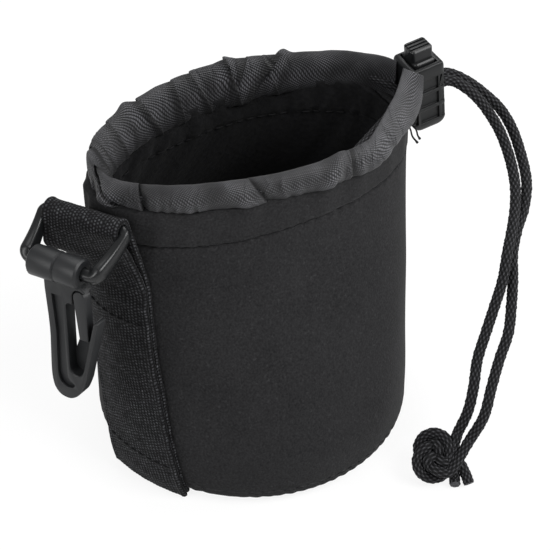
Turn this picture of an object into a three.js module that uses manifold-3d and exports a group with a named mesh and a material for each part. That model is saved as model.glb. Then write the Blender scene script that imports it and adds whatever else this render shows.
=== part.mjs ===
// A small drawstring lens pouch of neoprene, with a webbing strap on its side that carries a snap hook.
// Millimetres, +Z up. The origin is the centre of the base's underside, and +X points to the cord lock.
// A turn is an angle round the pouch: 0 at the cord lock, growing from +X towards +Y.
import * as THREE from 'three';
import { mergeVertices } from 'three/addons/utils/BufferGeometryUtils.js';
import Module from 'manifold-3d';

const wasm = await Module();
wasm.setup();

const radians = THREE.MathUtils.degToRad;

// Sizes that several pieces share
const clearance = 0.3;
const cutOverrun = 1;
const threadDiameter = 0.6;
const stitchGrooveWidth = 1.8;
const roundSteps = 20;
const cornerSteps = 3;
const threadSides = 4;

// Pouch: a round base that lofts into an oval mouth
const wallRadius = 42;
const wallThickness = 2.6;
const wallFoot = 1.1;
const footRadius = 4.2;
const footStartAngle = radians(35);
const loftStart = 10;
const wallTop = 83.8;
const wallTopRounding = 0.6;
const mouthHalfLength = 44;
const mouthHalfWidth = 23.5;
const mouthOffsetX = 2;
const mouthOffsetY = 3;
const aroundSteps = 40;
const loftSteps = 5;
const footSteps = 3;

// Hem at the mouth, which dips where the cord leaves the collar
const hemDepth = 12.3;
const hemThickness = 1.9;
const hemStep = 0.6;
const hemStitchDrop = 10.8;
const hemGrooveDepth = 0.6;
const mouthDip = 3.2;
const mouthDipSpan = radians(28);

// Lining and base
const liningThickness = 0.8;
const liningGrooveDepth = 0.35;
const basePanelThickness = 3.2;
const basePanelChamfer = 0.5;
const baseLiningThickness = 0.8;

// Collar: a twill tube round the mouth, open at both ends beside the lock, with a skirt inside the hem
const collarHalfWidth = 2.25;
const collarHalfHeight = 3.45;
const collarInset = 1.45;
const channelHalfWidth = 1.8;
const channelHalfHeight = 2.8;
const skirtThickness = 0.4;
const skirtDepth = 11.5;
const skirtSeam = 0.8;
const collarSides = 10;
const collarEndTurn = radians(35);
const collarArcSteps = 32;
const lipThickness = 2.4;
const frontLipEnd = [48.6, -4.9];
const backLipEnd = [46.4, 9.4];
const lipShares = [0.5, 0.8, 1];

// Drawstring cord: one loop in the collar, through the lock, with both ends free and knotted together
const cordDiameter = 2.6;
const cordSpacing = 2.9;
const cordSides = 8;
const cordSteps = 36;
const tailSteps = 2;
const cordLift = 3.6;
const cordBendPoints = [[41.4, -4.4, 86], [44.7, -0.7, 83.9]];
const cordBackBendPoints = [[41.4, 9.6, 86], [44.7, 4.8, 83.9]];
const frontStrandPoints = [
  [57.9, 0.6, 83.9], [61, 0, 83.4], [64.2, -2, 81.2], [67.3, -4.1, 77.5], [69.8, -5.9, 73.1],
  [71, -9.5, 69.2], [70.3, -15.8, 64.9], [68, -22.3, 61.5], [65, -27.3, 59], [61.1, -32.2, 56.6],
  [56.9, -36.7, 53], [53.5, -40.3, 47.7], [49.5, -43, 41.8], [45.8, -45.4, 36.5], [41.7, -48.3, 31],
  [38.5, -52, 25.5], [36.2, -53.5, 19], [33.3, -53.75, 12.72],
];
const backStrandPoints = [
  [57.9, 3.5, 83.9], [62, 3.5, 83.2], [66.8, 1.2, 80.3], [71.1, -1.9, 76.1], [74.5, -4, 71.7],
  [75.7, -7.9, 68], [74.7, -14.7, 63.7], [71.6, -22.6, 60.4], [67.8, -27.5, 56.9], [63.6, -31.1, 54.3],
  [59.6, -35.4, 50.8], [56.9, -40.1, 46.2], [54.3, -44, 41.2], [51, -48.2, 36.5], [46.8, -51, 31],
  [42.6, -54.3, 25.5], [39.2, -56.7, 18.6], [35, -56.95, 11.78],
];

// Knot at the ends of the cord, and the two short tails beyond it
const knotCentre = [30.4, -54.6, 6.7];
const knotRadius = 6.9;
const knotHalfHeight = 6.4;
const knotSides = 16;
const knotRows = 10;
const tailPoints = [
  [[27.6, -60.45, 3.95], [26.4, -63, 2.4], [25.8, -64.8, 1.7]],
  [[34.15, -59.65, 3.55], [35.6, -61.4, 2.4], [36.9, -62.7, 1.7]],
];

// Cord lock: a rectangular body with ladder pockets, and a sprung button whose window grips both strands
const lockCentre = [52.3, 2, 82.8];
const lockTilt = radians(5);
const lockLength = 10;
const lockWidth = 10;
const lockHeight = 20.4;
const lockCornerTop = 1.2;
const lockCornerBottom = 2.6;
const lockBevel = 0.9;
const lockFloor = 1.6;
const lockCordRise = 0.7;
const ladderPitch = 5;
const ladderRib = 1;
const ladderLowestRib = 2;
const ladderCount = 3;
const ladderDepth = 0.7;
const ladderColumnWidth = 5.6;
const ladderBarWidth = 0.8;
const buttonLength = 6.2;
const buttonStemWidth = 7.1;
const buttonCapWidth = 5;
const buttonCapHeight = 3.4;
const buttonProud = 4.4;
const buttonTravel = 3.2;
const buttonSole = 1.6;
const buttonCorner = 0.9;
const buttonBevel = 0.4;
const gripGrooveWidth = 0.6;
const gripGrooveDepth = 0.45;
const gripGroovePitch = 1.25;
const gripGrooveCount = 3;
const springWire = 0.5;
const springRadius = 2;
const springTurns = 3.6;
const springStepsPerTurn = 9;
const springSides = 5;

// Strap: one length of webbing from the base seam up the wall, over the ring's upper bar and down again
const strapWidth = 21.5;
const strapThickness = 1.2;
const strapFoot = 1.4;
const strapWallTop = 62;
const strapWallSteps = 7;
const strapColumns = 6;
const strapLoopSteps = 8;
const strapTurns = [radians(205), radians(196.5), radians(196), radians(201)];
const strapFlare = [[1.6, -6.5], [0.4, -12]];
const strapStitchHeights = [52, 10.5];
const strapStitchMargin = 1.2;
const strapTurnProbe = radians(1);

// Ring: held by the strap, leaning out from the wall
const ringCentre = [-46.8, -2, 80.9];
const ringAzimuth = radians(-60);
const ringRoll = radians(6);
const ringLean = radians(64);
const ringBarDiameter = 3;
const ringSpacing = 13.6;
const ringOuterBottom = 12.5;
const ringArmTop = 2.3;
const ringOuterTop = strapWidth / 2 + 2 * clearance + ringArmTop;
const ringArmBottom = 3.1;
const ringArmDepthTop = 2.6;
const ringArmDepthBottom = 4.4;
const ringCornerTop = 1.3;
const ringCornerBottom = 2;
const ringCornerSteps = 4;
const ringArmSteps = 3;
const ringSides = 10;
const ringBow = 0.7;

// Hook: moulded, planar, with its barrel on the ring's lower bar; drops are measured down from the
// barrel and rises up from the lowest point of the bend
const hookLean = radians(7.7);
const barrelDiameter = 8;
const barrelLeft = 8;
const barrelRight = 7;
const barrelChamfer = 0.5;
const seamPlace = 0.1;
const seamWidth = 0.9;
const seamDepth = 0.3;
const hookThickness = 4;
const hookBevel = 0.25;
const hookLength = 37.7;
const shoulderLeft = 4;
const shoulderRight = 8.6;
const shoulderDrop = 5.8;
const shoulderRise = 2.7;
const legWaist = 3.4;
const legWaistDrop = 18;
const legBelly = 3.9;
const legBellyRise = 5.7;
const legInnerTop = 2.2;
const legInnerBottom = 1.9;
const throatTop = 8.6;
const throatFloorRise = 7.9;
const noseReach = 11.5;
const noseTop = 12.4;
const noseRim = 1.2;
const bendReach = 6.6;
const bendRise = 6.7;
const bendLeftShares = [0.6, 0.85];
const bendLowestShare = 0.18;
const bendRightShares = [0.68, 0.66];
const webThickness = 0.8;
const webTop = 18;
const webTopReach = 4.4;
const webFloorRise = 10.5;
const recessDepth = 1;
const recessTop = 7;
const recessBottomRise = 3.5;
const recessOuterRim = 2.1;
const recessInnerRim = 0.8;
const gatePivotReach = 6.5;
const gatePivotDrop = 6.2;
const gateRootRadius = 1.9;
const gateSeatEnd = radians(50);
const gateEndDrop = 18.4;
const gateEndLeft = 5.7;

const legBellyDrop = hookLength - legBellyRise;
const throatFloor = hookLength - throatFloorRise;
const bendDrop = hookLength - bendRise;
const webFloorDrop = hookLength - webFloorRise;
const recessBottom = hookLength - recessBottomRise;

// Materials, in the colours and finishes of a black pouch
function material(color, roughness, metalness) {
  return new THREE.MeshStandardMaterial({ color, roughness, metalness });
}
const neoprene = () => material(0x17171a, 0.95, 0);
const plush = () => material(0x0d0d0f, 1, 0);
const twill = () => material(0x2c2d31, 0.8, 0);
const webbing = () => material(0x202124, 0.9, 0);
const thread = () => material(0x1a1a1c, 0.85, 0);
const braid = () => material(0x1e1e20, 0.85, 0);
const mouldedPlastic = () => material(0x2f3134, 0.45, 0);
const glossPlastic = () => material(0x141517, 0.2, 0);
const springSteel = () => material(0xb8bcc0, 0.3, 1);

// Closed solid from rings of points. Joined, the last ring meets the first; else strips cap both ends.
function ringSolid(rings, joined) {
  const size = rings[0].length;
  const positions = rings.flat().flatMap((point) => point.toArray());
  const faces = [];
  const quad = (a, b, c, d) => faces.push(a, b, c, a, c, d);
  const spans = joined ? rings.length : rings.length - 1;
  for (let row = 0; row < spans; row += 1) {
    const start = row * size;
    const end = ((row + 1) % rings.length) * size;
    for (let column = 0; column < size; column += 1) {
      const next = (column + 1) % size;
      quad(start + column, start + next, end + next, end + column);
    }
  }
  if (!joined) {
    const last = (rings.length - 1) * size;
    for (let column = 0; column < size / 2 - 1; column += 1) {
      const far = size - 1 - column;
      quad(column, far, far - 1, column + 1);
      quad(last + column + 1, last + far - 1, last + far, last + column);
    }
  }
  const geometry = new THREE.BufferGeometry();
  geometry.setAttribute('position', new THREE.Float32BufferAttribute(positions, 3));
  geometry.setIndex(faces);
  return faceOutward(geometry);
}

// Turns a closed surface inside out if it encloses a negative volume
function faceOutward(geometry) {
  const position = geometry.attributes.position;
  const index = geometry.index;
  const [a, b, c] = [new THREE.Vector3(), new THREE.Vector3(), new THREE.Vector3()];
  let volume = 0;
  for (let corner = 0; corner < index.count; corner += 3) {
    a.fromBufferAttribute(position, index.getX(corner));
    b.fromBufferAttribute(position, index.getX(corner + 1));
    c.fromBufferAttribute(position, index.getX(corner + 2));
    volume += a.dot(b.cross(c));
  }
  if (volume < 0) {
    for (let corner = 0; corner < index.count; corner += 3) {
      const second = index.getX(corner + 1);
      index.setX(corner + 1, index.getX(corner + 2));
      index.setX(corner + 2, second);
    }
  }
  geometry.computeVertexNormals();
  return geometry;
}

// A closed geometry as a solid for joining and cutting, and back
function toSolid(geometry) {
  const bare = geometry.clone();
  bare.deleteAttribute('normal');
  bare.deleteAttribute('uv');
  const merged = mergeVertices(bare);
  return new wasm.Manifold(new wasm.Mesh({
    numProp: 3,
    vertProperties: new Float32Array(merged.attributes.position.array),
    triVerts: new Uint32Array(merged.index.array),
  }));
}

function toGeometry(solid) {
  const mesh = solid.getMesh();
  const geometry = new THREE.BufferGeometry();
  geometry.setAttribute('position', new THREE.BufferAttribute(new Float32Array(mesh.vertProperties), 3));
  geometry.setIndex(new THREE.BufferAttribute(new Uint32Array(mesh.triVerts), 1));
  geometry.computeVertexNormals();
  return geometry;
}

// Box between two corners, as a solid
function block(low, high) {
  const size = high.map((value, axis) => value - low[axis]);
  const middle = high.map((value, axis) => (value + low[axis]) / 2);
  return toSolid(new THREE.BoxGeometry(...size).translate(...middle));
}

// Flat outline in X and Y pushed through Z from one height to another, as a solid
function slab(shape, low, high, bevel = 0) {
  const options = {
    depth: high - low - 2 * bevel,
    bevelEnabled: bevel > 0,
    bevelSize: bevel,
    bevelOffset: -bevel,
    bevelThickness: bevel,
    bevelSegments: 1,
    curveSegments: 2 * cornerSteps,
  };
  return toSolid(new THREE.ExtrudeGeometry(shape, options).translate(0, 0, low + bevel));
}

// Rectangle with round corners about the origin: the upper and lower corners can differ
function roundedRectangle(width, height, top, bottom = top) {
  const shape = new THREE.Shape();
  const [x, y] = [width / 2, height / 2];
  shape.moveTo(-x, -y + bottom);
  shape.absarc(-x + bottom, -y + bottom, bottom, Math.PI, 1.5 * Math.PI, false);
  shape.absarc(x - bottom, -y + bottom, bottom, 1.5 * Math.PI, 2 * Math.PI, false);
  shape.absarc(x - top, y - top, top, 0, Math.PI / 2, false);
  shape.absarc(-x + top, y - top, top, Math.PI / 2, Math.PI, false);
  return shape;
}

// Oval section round a point, from two half axes that are vectors
function ovalRing(centre, sideways, upward, sides) {
  return Array.from({ length: sides }, (_, step) => {
    const angle = ((step + 0.5) / sides) * 2 * Math.PI;
    return centre.clone()
      .addScaledVector(sideways, Math.cos(angle))
      .addScaledVector(upward, Math.sin(angle));
  });
}

// Round cord along a list of points
function cordSolid(points, steps) {
  const places = points.map((point) => new THREE.Vector3(...point));
  const curve = new THREE.CatmullRomCurve3(places, false, 'centripetal');
  const corners = Array.from({ length: cordSides }, (_, step) => {
    const angle = (step / cordSides) * 2 * Math.PI;
    return new THREE.Vector2(Math.cos(angle), Math.sin(angle)).multiplyScalar(cordDiameter / 2);
  });
  return new THREE.ExtrudeGeometry(new THREE.Shape(corners), { steps, extrudePath: curve });
}

// Point of the pouch's outer surface, moved inward by the inset
function wallPoint(turn, height, inset) {
  const share = THREE.MathUtils.smoothstep(height, loftStart, wallTop);
  const halfLength = THREE.MathUtils.lerp(wallRadius, mouthHalfLength, share) - inset;
  const halfWidth = THREE.MathUtils.lerp(wallRadius, mouthHalfWidth, share) - inset;
  return new THREE.Vector3(
    mouthOffsetX * share + halfLength * Math.cos(turn),
    mouthOffsetY * share + halfWidth * Math.sin(turn),
    height - dipAt(turn) * THREE.MathUtils.smoothstep(height, wallTop - hemDepth, wallTop),
  );
}

// How far the mouth's edge dips at a turn, to let the cord out to the lock
function dipAt(turn) {
  const away = Math.abs(Math.atan2(Math.sin(turn), Math.cos(turn)));
  return away < mouthDipSpan ? mouthDip * (0.5 + 0.5 * Math.cos((Math.PI * away) / mouthDipSpan)) : 0;
}

// Profile of insets and heights carried once round the pouch
function sweepAround(profile) {
  const rings = Array.from({ length: aroundSteps }, (_, step) => {
    const turn = (step / aroundSteps) * 2 * Math.PI;
    return profile.map(([inset, height]) => wallPoint(turn, height, inset));
  });
  return ringSolid(rings, true);
}

// Heights between two others, both included
function heightsBetween(low, high, steps) {
  return Array.from({ length: steps + 1 }, (_, step) => low + ((high - low) * step) / steps);
}

const hemBottom = wallTop - hemDepth;
const hemStitchHeight = wallTop - hemStitchDrop;
const loftHeights = heightsBetween(loftStart, hemBottom - hemStep, loftSteps);
const liningInset = wallThickness + clearance;
const liningFoot = basePanelThickness + clearance + baseLiningThickness + clearance;

// Groove for a row of stitches: down the surface from above the row to below it
function grooveProfile(surface, floor) {
  return [
    [surface, hemStitchHeight + stitchGrooveWidth / 2],
    [floor, hemStitchHeight],
    [surface, hemStitchHeight - stitchGrooveWidth / 2],
  ];
}

function sideWall() {
  const footArc = heightsBetween(footStartAngle, Math.PI / 2, footSteps).map((angle) => [
    footRadius * (1 - Math.sin(angle)),
    wallFoot + footRadius * (Math.cos(footStartAngle) - Math.cos(angle)),
  ]);
  const outside = [
    ...footArc,
    ...loftHeights.map((height) => [0, height]),
    ...grooveProfile(0, hemGrooveDepth).reverse(),
    [0, wallTop - wallTopRounding],
    [wallTopRounding, wallTop],
  ];
  const inside = [
    [hemThickness, wallTop],
    [hemThickness, hemBottom],
    ...loftHeights.toReversed().map((height) => [wallThickness, height]),
    [wallThickness, liningFoot - clearance],
    [wallThickness + footArc[0][0], wallFoot],
  ];
  return sweepAround([...outside, ...inside]);
}

function wallLining() {
  const inner = liningInset + liningThickness;
  const outside = [liningFoot, ...loftHeights, wallTop].map((height) => [liningInset, height]);
  const inside = [
    [inner, wallTop],
    ...grooveProfile(inner, inner - liningGrooveDepth),
    ...loftHeights.toReversed().map((height) => [inner, height]),
    [inner, liningFoot],
  ];
  return sweepAround([...outside, ...inside]);
}

// A row of stitches as one thread round the pouch
function hemStitching(inset) {
  const half = threadDiameter / 2;
  return sweepAround([
    [inset - half, hemStitchHeight],
    [inset, hemStitchHeight - half],
    [inset + half, hemStitchHeight],
    [inset, hemStitchHeight + half],
  ]);
}

// Round flat piece between two heights
function disc(radius, low, high, chamfer = 0) {
  const profile = [[0, low], [radius - chamfer, low], [radius, low + chamfer], [radius, high], [0, high]]
    .map(([x, y]) => new THREE.Vector2(x, y));
  return new THREE.LatheGeometry(profile, aroundSteps).rotateX(Math.PI / 2);
}

function basePanel() {
  const wallInner = wallRadius - wallThickness - footRadius * (1 - Math.sin(footStartAngle));
  return disc(wallInner - clearance, 0, basePanelThickness, basePanelChamfer);
}

function baseLining() {
  const low = basePanelThickness + clearance;
  return disc(wallRadius - liningInset - liningThickness, low, low + baseLiningThickness);
}

function baseStitching() {
  const half = threadDiameter / 2;
  const radius = wallRadius - footRadius * (1 - Math.sin(footStartAngle)) - wallThickness / 2;
  return new THREE.TorusGeometry(radius, half, threadSides, aroundSteps)
    .translate(0, 0, wallFoot - clearance - half);
}

// Stations along the collar: the middle of its section, the way out of the pouch and half its width
function collarStations() {
  const height = wallTop + clearance + collarHalfHeight;
  const lip = (turn, [x, y]) => lipShares.map((share) => ({
    middle: wallPoint(turn, wallTop, collarInset).lerp(new THREE.Vector3(x, y, height), share).setZ(height),
    half: THREE.MathUtils.lerp(collarHalfWidth, lipThickness / 2, share),
  }));
  const sweep = 2 * Math.PI - 2 * collarEndTurn;
  const arc = Array.from({ length: collarArcSteps + 1 }, (_, step) => {
    const turn = collarEndTurn + (sweep * step) / collarArcSteps;
    return { middle: wallPoint(turn, wallTop, collarInset).setZ(height), half: collarHalfWidth };
  });
  const backLip = lip(collarEndTurn, backLipEnd).reverse();
  const stations = [...backLip, ...arc, ...lip(-collarEndTurn, frontLipEnd)];
  stations.forEach((station, index) => {
    const before = stations[Math.max(index - 1, 0)].middle;
    const after = stations[Math.min(index + 1, stations.length - 1)].middle;
    const along = after.clone().sub(before).normalize();
    station.outward = new THREE.Vector3(along.y, -along.x, 0);
  });
  return stations;
}

const lockFrame = new THREE.Matrix4()
  .makeRotationY(-lockTilt)
  .setPosition(...lockCentre);
const onLock = (x, y, z) => new THREE.Vector3(x, y, z).applyMatrix4(lockFrame);

// Route of the cord that the collar and the lock hold: from the lock's outer face round the mouth and back
function channelRoute() {
  const outer = lockLength / 2;
  const strand = (side) => [outer, -outer].map((x) => onLock(x, (side * cordSpacing) / 2, lockCordRise));
  const bend = (points) => points.map((point) => new THREE.Vector3(...point));
  const sweep = 2 * Math.PI - 2 * collarEndTurn;
  const arc = Array.from({ length: collarArcSteps + 1 }, (_, step) => {
    const turn = collarEndTurn + (sweep * step) / collarArcSteps;
    return wallPoint(turn, wallTop, collarInset).setZ(wallTop + cordLift);
  });
  return [
    ...strand(1),
    ...bend(cordBackBendPoints).reverse(),
    ...arc,
    ...bend(cordBendPoints),
    ...strand(-1).reverse(),
  ];
}

// Tube along the cord's held route, with half axes that may differ inside the collar
function routeTube(halfWidth, halfHeight, endHalf) {
  const route = channelRoute();
  const ends = 2 + cordBendPoints.length;
  const rings = route.map((middle, index) => {
    const before = route[Math.max(index - 1, 0)];
    const after = route[Math.min(index + 1, route.length - 1)];
    const along = after.clone().sub(before).normalize();
    const outward = new THREE.Vector3(along.y, -along.x, 0).normalize();
    const upward = outward.clone().cross(along).normalize();
    const held = index >= ends && index < route.length - ends;
    outward.multiplyScalar(held ? halfWidth : endHalf);
    upward.multiplyScalar(held ? halfHeight : endHalf);
    return ovalRing(middle, outward, upward, cordSides);
  });
  return ringSolid(rings, false);
}

function channelCord() {
  const half = cordDiameter / 2;
  return routeTube(half, half, half);
}

// Skirt: the twill's seam allowance between the hem and the lining, up into the collar's lower edge
function collarSkirt() {
  const outer = hemThickness + clearance;
  const inner = outer + skirtThickness;
  const top = wallTop + clearance + skirtSeam;
  const low = wallTop - skirtDepth;
  const inside = [[inner, low], [inner, wallTop], [inner, top]];
  const outside = [[outer, top], [outer, wallTop], [outer, low]];
  return sweepAround([...inside, ...outside]);
}

function collar() {
  const up = new THREE.Vector3(0, 0, collarHalfHeight);
  const rings = collarStations().map(({ middle, outward, half }) =>
    ovalRing(middle, outward.clone().multiplyScalar(half), up, collarSides));
  const tube = toSolid(ringSolid(rings, false));
  const channel = toSolid(routeTube(channelHalfWidth, channelHalfHeight, cordDiameter / 2 + clearance));
  return toGeometry(tube.add(toSolid(collarSkirt())).subtract(channel));
}

// Slot for both strands, along the lock's X
function strandSlot(length, low, high) {
  const width = cordSpacing + cordDiameter + 2 * clearance;
  const shape = roundedRectangle(width, high - low, cordDiameter / 2 + clearance);
  const options = { depth: length, bevelEnabled: false, curveSegments: cornerSteps };
  const geometry = new THREE.ExtrudeGeometry(shape, options)
    .translate(0, 0, -length / 2)
    .rotateX(Math.PI / 2)
    .rotateZ(Math.PI / 2);
  return toSolid(geometry.translate(0, 0, (low + high) / 2));
}

const cordHalfHole = cordDiameter / 2 + clearance;
const cavityFloor = -lockHeight / 2 + lockFloor;
const windowBottom = lockCordRise - cordHalfHole;
const stemBottom = windowBottom - buttonSole;

// Pockets of the ladder on one long side of the lock: a wide column and two that run out at the corners
function ladderPockets(side) {
  const face = (side * lockWidth) / 2;
  const [near, far] = [face - side * ladderDepth, face + side * cutOverrun].sort((a, b) => a - b);
  const half = ladderColumnWidth / 2;
  const edge = lockLength / 2 + cutOverrun;
  const columns = [[-edge, -half - ladderBarWidth], [-half, half], [half + ladderBarWidth, edge]];
  const pockets = [];
  for (let row = 0; row < ladderCount; row += 1) {
    const low = -lockHeight / 2 + ladderLowestRib + row * ladderPitch + ladderRib / 2;
    const high = low + ladderPitch - ladderRib;
    columns.forEach(([left, right]) => pockets.push(block([left, near, low], [right, far, high])));
  }
  return pockets;
}

function lockBody() {
  const front = roundedRectangle(lockLength, lockHeight, lockCornerTop, lockCornerBottom);
  const options = {
    depth: lockWidth - 2 * lockBevel,
    bevelSize: lockBevel,
    bevelOffset: -lockBevel,
    bevelThickness: lockBevel,
    bevelSegments: 2,
    curveSegments: cornerSteps,
  };
  const shell = new THREE.ExtrudeGeometry(front, options)
    .translate(0, 0, -lockWidth / 2 + lockBevel)
    .rotateX(Math.PI / 2);
  const cavityX = buttonLength / 2 + clearance;
  const cavityY = buttonStemWidth / 2 + clearance;
  let solid = toSolid(shell)
    .subtract(block([-cavityX, -cavityY, cavityFloor], [cavityX, cavityY, lockHeight / 2 + cutOverrun]))
    .subtract(strandSlot(lockLength + 2 * cutOverrun, windowBottom, lockCordRise + cordHalfHole));
  [...ladderPockets(1), ...ladderPockets(-1)].forEach((pocket) => {
    solid = solid.subtract(pocket);
  });
  return toGeometry(solid).applyMatrix4(lockFrame);
}

function lockButton() {
  const top = lockHeight / 2 + buttonProud;
  const shoulder = top - buttonCapHeight;
  const stem = roundedRectangle(buttonLength, buttonStemWidth, buttonCorner);
  const cap = roundedRectangle(buttonLength, buttonCapWidth, buttonCorner);
  const windowTop = lockCordRise + cordHalfHole + buttonTravel;
  let solid = slab(stem, stemBottom, shoulder, buttonBevel)
    .add(slab(cap, shoulder - buttonCapHeight, top, buttonBevel))
    .subtract(strandSlot(buttonLength + 2 * cutOverrun, windowBottom, windowTop));
  const reach = buttonLength / 2 + cutOverrun;
  for (let groove = 0; groove < gripGrooveCount; groove += 1) {
    const place = (groove - (gripGrooveCount - 1) / 2) * gripGroovePitch;
    const half = gripGrooveWidth / 2;
    const floor = top - gripGrooveDepth;
    solid = solid.subtract(block([-reach, place - half, floor], [reach, place + half, top + cutOverrun]));
  }
  return toGeometry(solid).applyMatrix4(lockFrame);
}

function lockSpring() {
  const low = cavityFloor + clearance + springWire / 2;
  const rise = stemBottom - clearance - springWire / 2 - low;
  const count = Math.round(springTurns * springStepsPerTurn);
  const rings = Array.from({ length: count + 1 }, (_, step) => {
    const angle = (step / springStepsPerTurn) * 2 * Math.PI;
    const out = new THREE.Vector3(Math.cos(angle), Math.sin(angle), 0);
    const middle = out.clone().multiplyScalar(springRadius).setZ(low + (rise * step) / count);
    const upward = new THREE.Vector3(0, 0, springWire / 2);
    return ovalRing(middle, out.multiplyScalar(springWire / 2), upward, springSides);
  });
  return ringSolid(rings, false).applyMatrix4(lockFrame);
}

// Directions at the strap and the ring: along the bars, out of the wall and up
const barAlong = new THREE.Vector3(
  Math.cos(ringRoll) * Math.cos(ringAzimuth),
  Math.cos(ringRoll) * Math.sin(ringAzimuth),
  Math.sin(ringRoll),
);
const wallOutward = new THREE.Vector3(Math.sin(ringAzimuth), -Math.cos(ringAzimuth), 0);
const barUpward = wallOutward.clone().cross(barAlong).normalize();
const upperBar = new THREE.Vector3(...ringCentre);

// Point near the ring's upper bar, from places along it, outward and upward
function atUpperBar(along, outward, upward) {
  return upperBar.clone()
    .addScaledVector(barAlong, along)
    .addScaledVector(wallOutward, outward)
    .addScaledVector(barUpward, upward);
}

// Turn of the strap's middle line at a height, between the four named turns
function strapTurnAt(height) {
  const place = (THREE.MathUtils.clamp(height / strapWallTop, 0, 1)) * (strapTurns.length - 1);
  const index = Math.min(Math.floor(place), strapTurns.length - 2);
  return THREE.MathUtils.lerp(strapTurns[index], strapTurns[index + 1], place - index);
}

// Point on the strap's way up the wall: across its width, lifted off the wall
function strapOnWall(height, across, lift) {
  const middle = strapTurnAt(height);
  const at = (turn) => wallPoint(turn, height, 0);
  const arcRate = (turn) =>
    at(turn - strapTurnProbe).distanceTo(at(turn + strapTurnProbe)) / (2 * strapTurnProbe);
  const halfway = middle + across / 2 / arcRate(middle);
  return wallPoint(middle + across / arcRate(halfway), height, -lift);
}

// Rows of the ribbon: each gives the point on its outside and on its inside for a place across
function strapRows() {
  const heights = heightsBetween(strapFoot, strapWallTop, strapWallSteps);
  const onWall = (height, outside, inside) => (across) => [
    strapOnWall(height, across, outside),
    strapOnWall(height, across, inside),
  ];
  const inner = clearance;
  const outer = 2 * clearance + strapThickness;
  const rising = heights.map((height) => onWall(height, inner, inner + strapThickness));
  const falling = heights.toReversed().map((height) => onWall(height, outer + strapThickness, outer));
  const insideRadius = ringBarDiameter / 2 + clearance;
  const loop = heightsBetween(Math.PI, 0, strapLoopSteps).map((angle) => (across) => {
    const [outward, upward] = [Math.cos(angle), Math.sin(angle)];
    const outsideRadius = insideRadius + strapThickness;
    return [
      atUpperBar(across, outward * outsideRadius, upward * outsideRadius),
      atUpperBar(across, outward * insideRadius, upward * insideRadius),
    ];
  });
  const flare = strapFlare.map(([outward, upward]) => (across) => [
    atUpperBar(across, outward + strapThickness, upward),
    atUpperBar(across, outward, upward),
  ]);
  return [...rising, ...loop, ...flare, ...falling];
}

function webbingStrap() {
  const places = heightsBetween(-strapWidth / 2, strapWidth / 2, strapColumns);
  const rings = strapRows().map((row) => [
    ...places.map((across) => row(across)[0]),
    ...places.toReversed().map((across) => row(across)[1]),
  ]);
  return ringSolid(rings, false);
}

// One row of cross stitches on the strap's outer layer
function strapStitch(height) {
  const low = 3 * clearance + 2 * strapThickness;
  const half = threadDiameter / 2;
  const reach = strapWidth / 2 - strapStitchMargin;
  const rings = heightsBetween(-reach, reach, strapColumns).map((across) => [
    strapOnWall(height - half, across, low),
    strapOnWall(height + half, across, low),
    strapOnWall(height + half, across, low + threadDiameter),
    strapOnWall(height - half, across, low + threadDiameter),
  ]);
  return ringSolid(rings, false);
}

// Frame with X along the bars, Y from the piece's far end back to the bar and Z out of its front face
function hangingFrame(origin, lean) {
  const down = wallOutward.clone().multiplyScalar(Math.sin(lean))
    .addScaledVector(barUpward, -Math.cos(lean));
  const back = down.clone().negate();
  return new THREE.Matrix4().makeBasis(barAlong, back, barAlong.clone().cross(back)).setPosition(origin);
}

const ringFrame = hangingFrame(upperBar, ringLean);
const lowerBar = new THREE.Vector3(0, -ringSpacing, 0).applyMatrix4(ringFrame);
const hookFrame = hangingFrame(lowerBar, hookLean);

// Stations round the ring: middle of the section, direction across it, half width and half thickness
function ringStations() {
  const barHalf = ringBarDiameter / 2;
  const corners = [
    {
      start: Math.PI / 2,
      arm: ringArmTop,
      depth: ringArmDepthTop,
      outer: ringOuterTop,
      radius: ringCornerTop,
      drop: ringCornerTop,
    },
    {
      start: 0,
      arm: ringArmBottom,
      depth: ringArmDepthBottom,
      outer: ringOuterBottom,
      radius: ringCornerBottom,
      drop: ringSpacing - ringCornerBottom,
    },
  ];
  const half = corners.flatMap(({ start, arm, depth, outer, radius, drop }, order) =>
    heightsBetween(0, 1, ringCornerSteps).map((share) => {
      const angle = start - (share * Math.PI) / 2;
      const armShare = THREE.MathUtils.smoothstep(order === 0 ? share : 1 - share, 0, 1);
      return {
        x: outer - arm / 2 - radius + radius * Math.cos(angle),
        y: -drop + radius * Math.sin(angle),
        angle,
        width: THREE.MathUtils.lerp(barHalf, arm / 2, armShare),
        thickness: THREE.MathUtils.lerp(barHalf, depth / 2, armShare),
      };
    }));
  const split = ringCornerSteps + 1;
  const [before, after] = [half[split - 1], half[split]];
  const arm = heightsBetween(0, 1, ringArmSteps).slice(1, -1).map((share) => {
    const [x, y, width, thickness] = ['x', 'y', 'width', 'thickness']
      .map((key) => THREE.MathUtils.lerp(before[key], after[key], share));
    return { x, y, angle: 0, width, thickness };
  });
  const right = [...half.slice(0, split), ...arm, ...half.slice(split)];
  const left = right.toReversed().map((station) => ({
    ...station,
    x: -station.x,
    angle: Math.PI - station.angle,
  }));
  return [...right, ...left];
}

function strapRing() {
  const rings = ringStations().map(({ x, y, angle, width, thickness }) => {
    const nearArm = THREE.MathUtils.smoothstep(Math.abs(x), 0, ringOuterTop);
    const bow = ringBow * Math.sin((Math.PI * y) / ringSpacing) * nearArm;
    const across = new THREE.Vector3(Math.cos(angle), Math.sin(angle), 0).multiplyScalar(width);
    return ovalRing(new THREE.Vector3(x, y, bow), across, new THREE.Vector3(0, 0, thickness), ringSides);
  });
  return ringSolid(rings, true).applyMatrix4(ringFrame);
}

// Straight outer edge of the hook's nose: how far it reaches at a drop
function noseOuter(drop) {
  return THREE.MathUtils.mapLinear(drop, noseTop, bendDrop, noseReach, bendReach);
}

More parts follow.
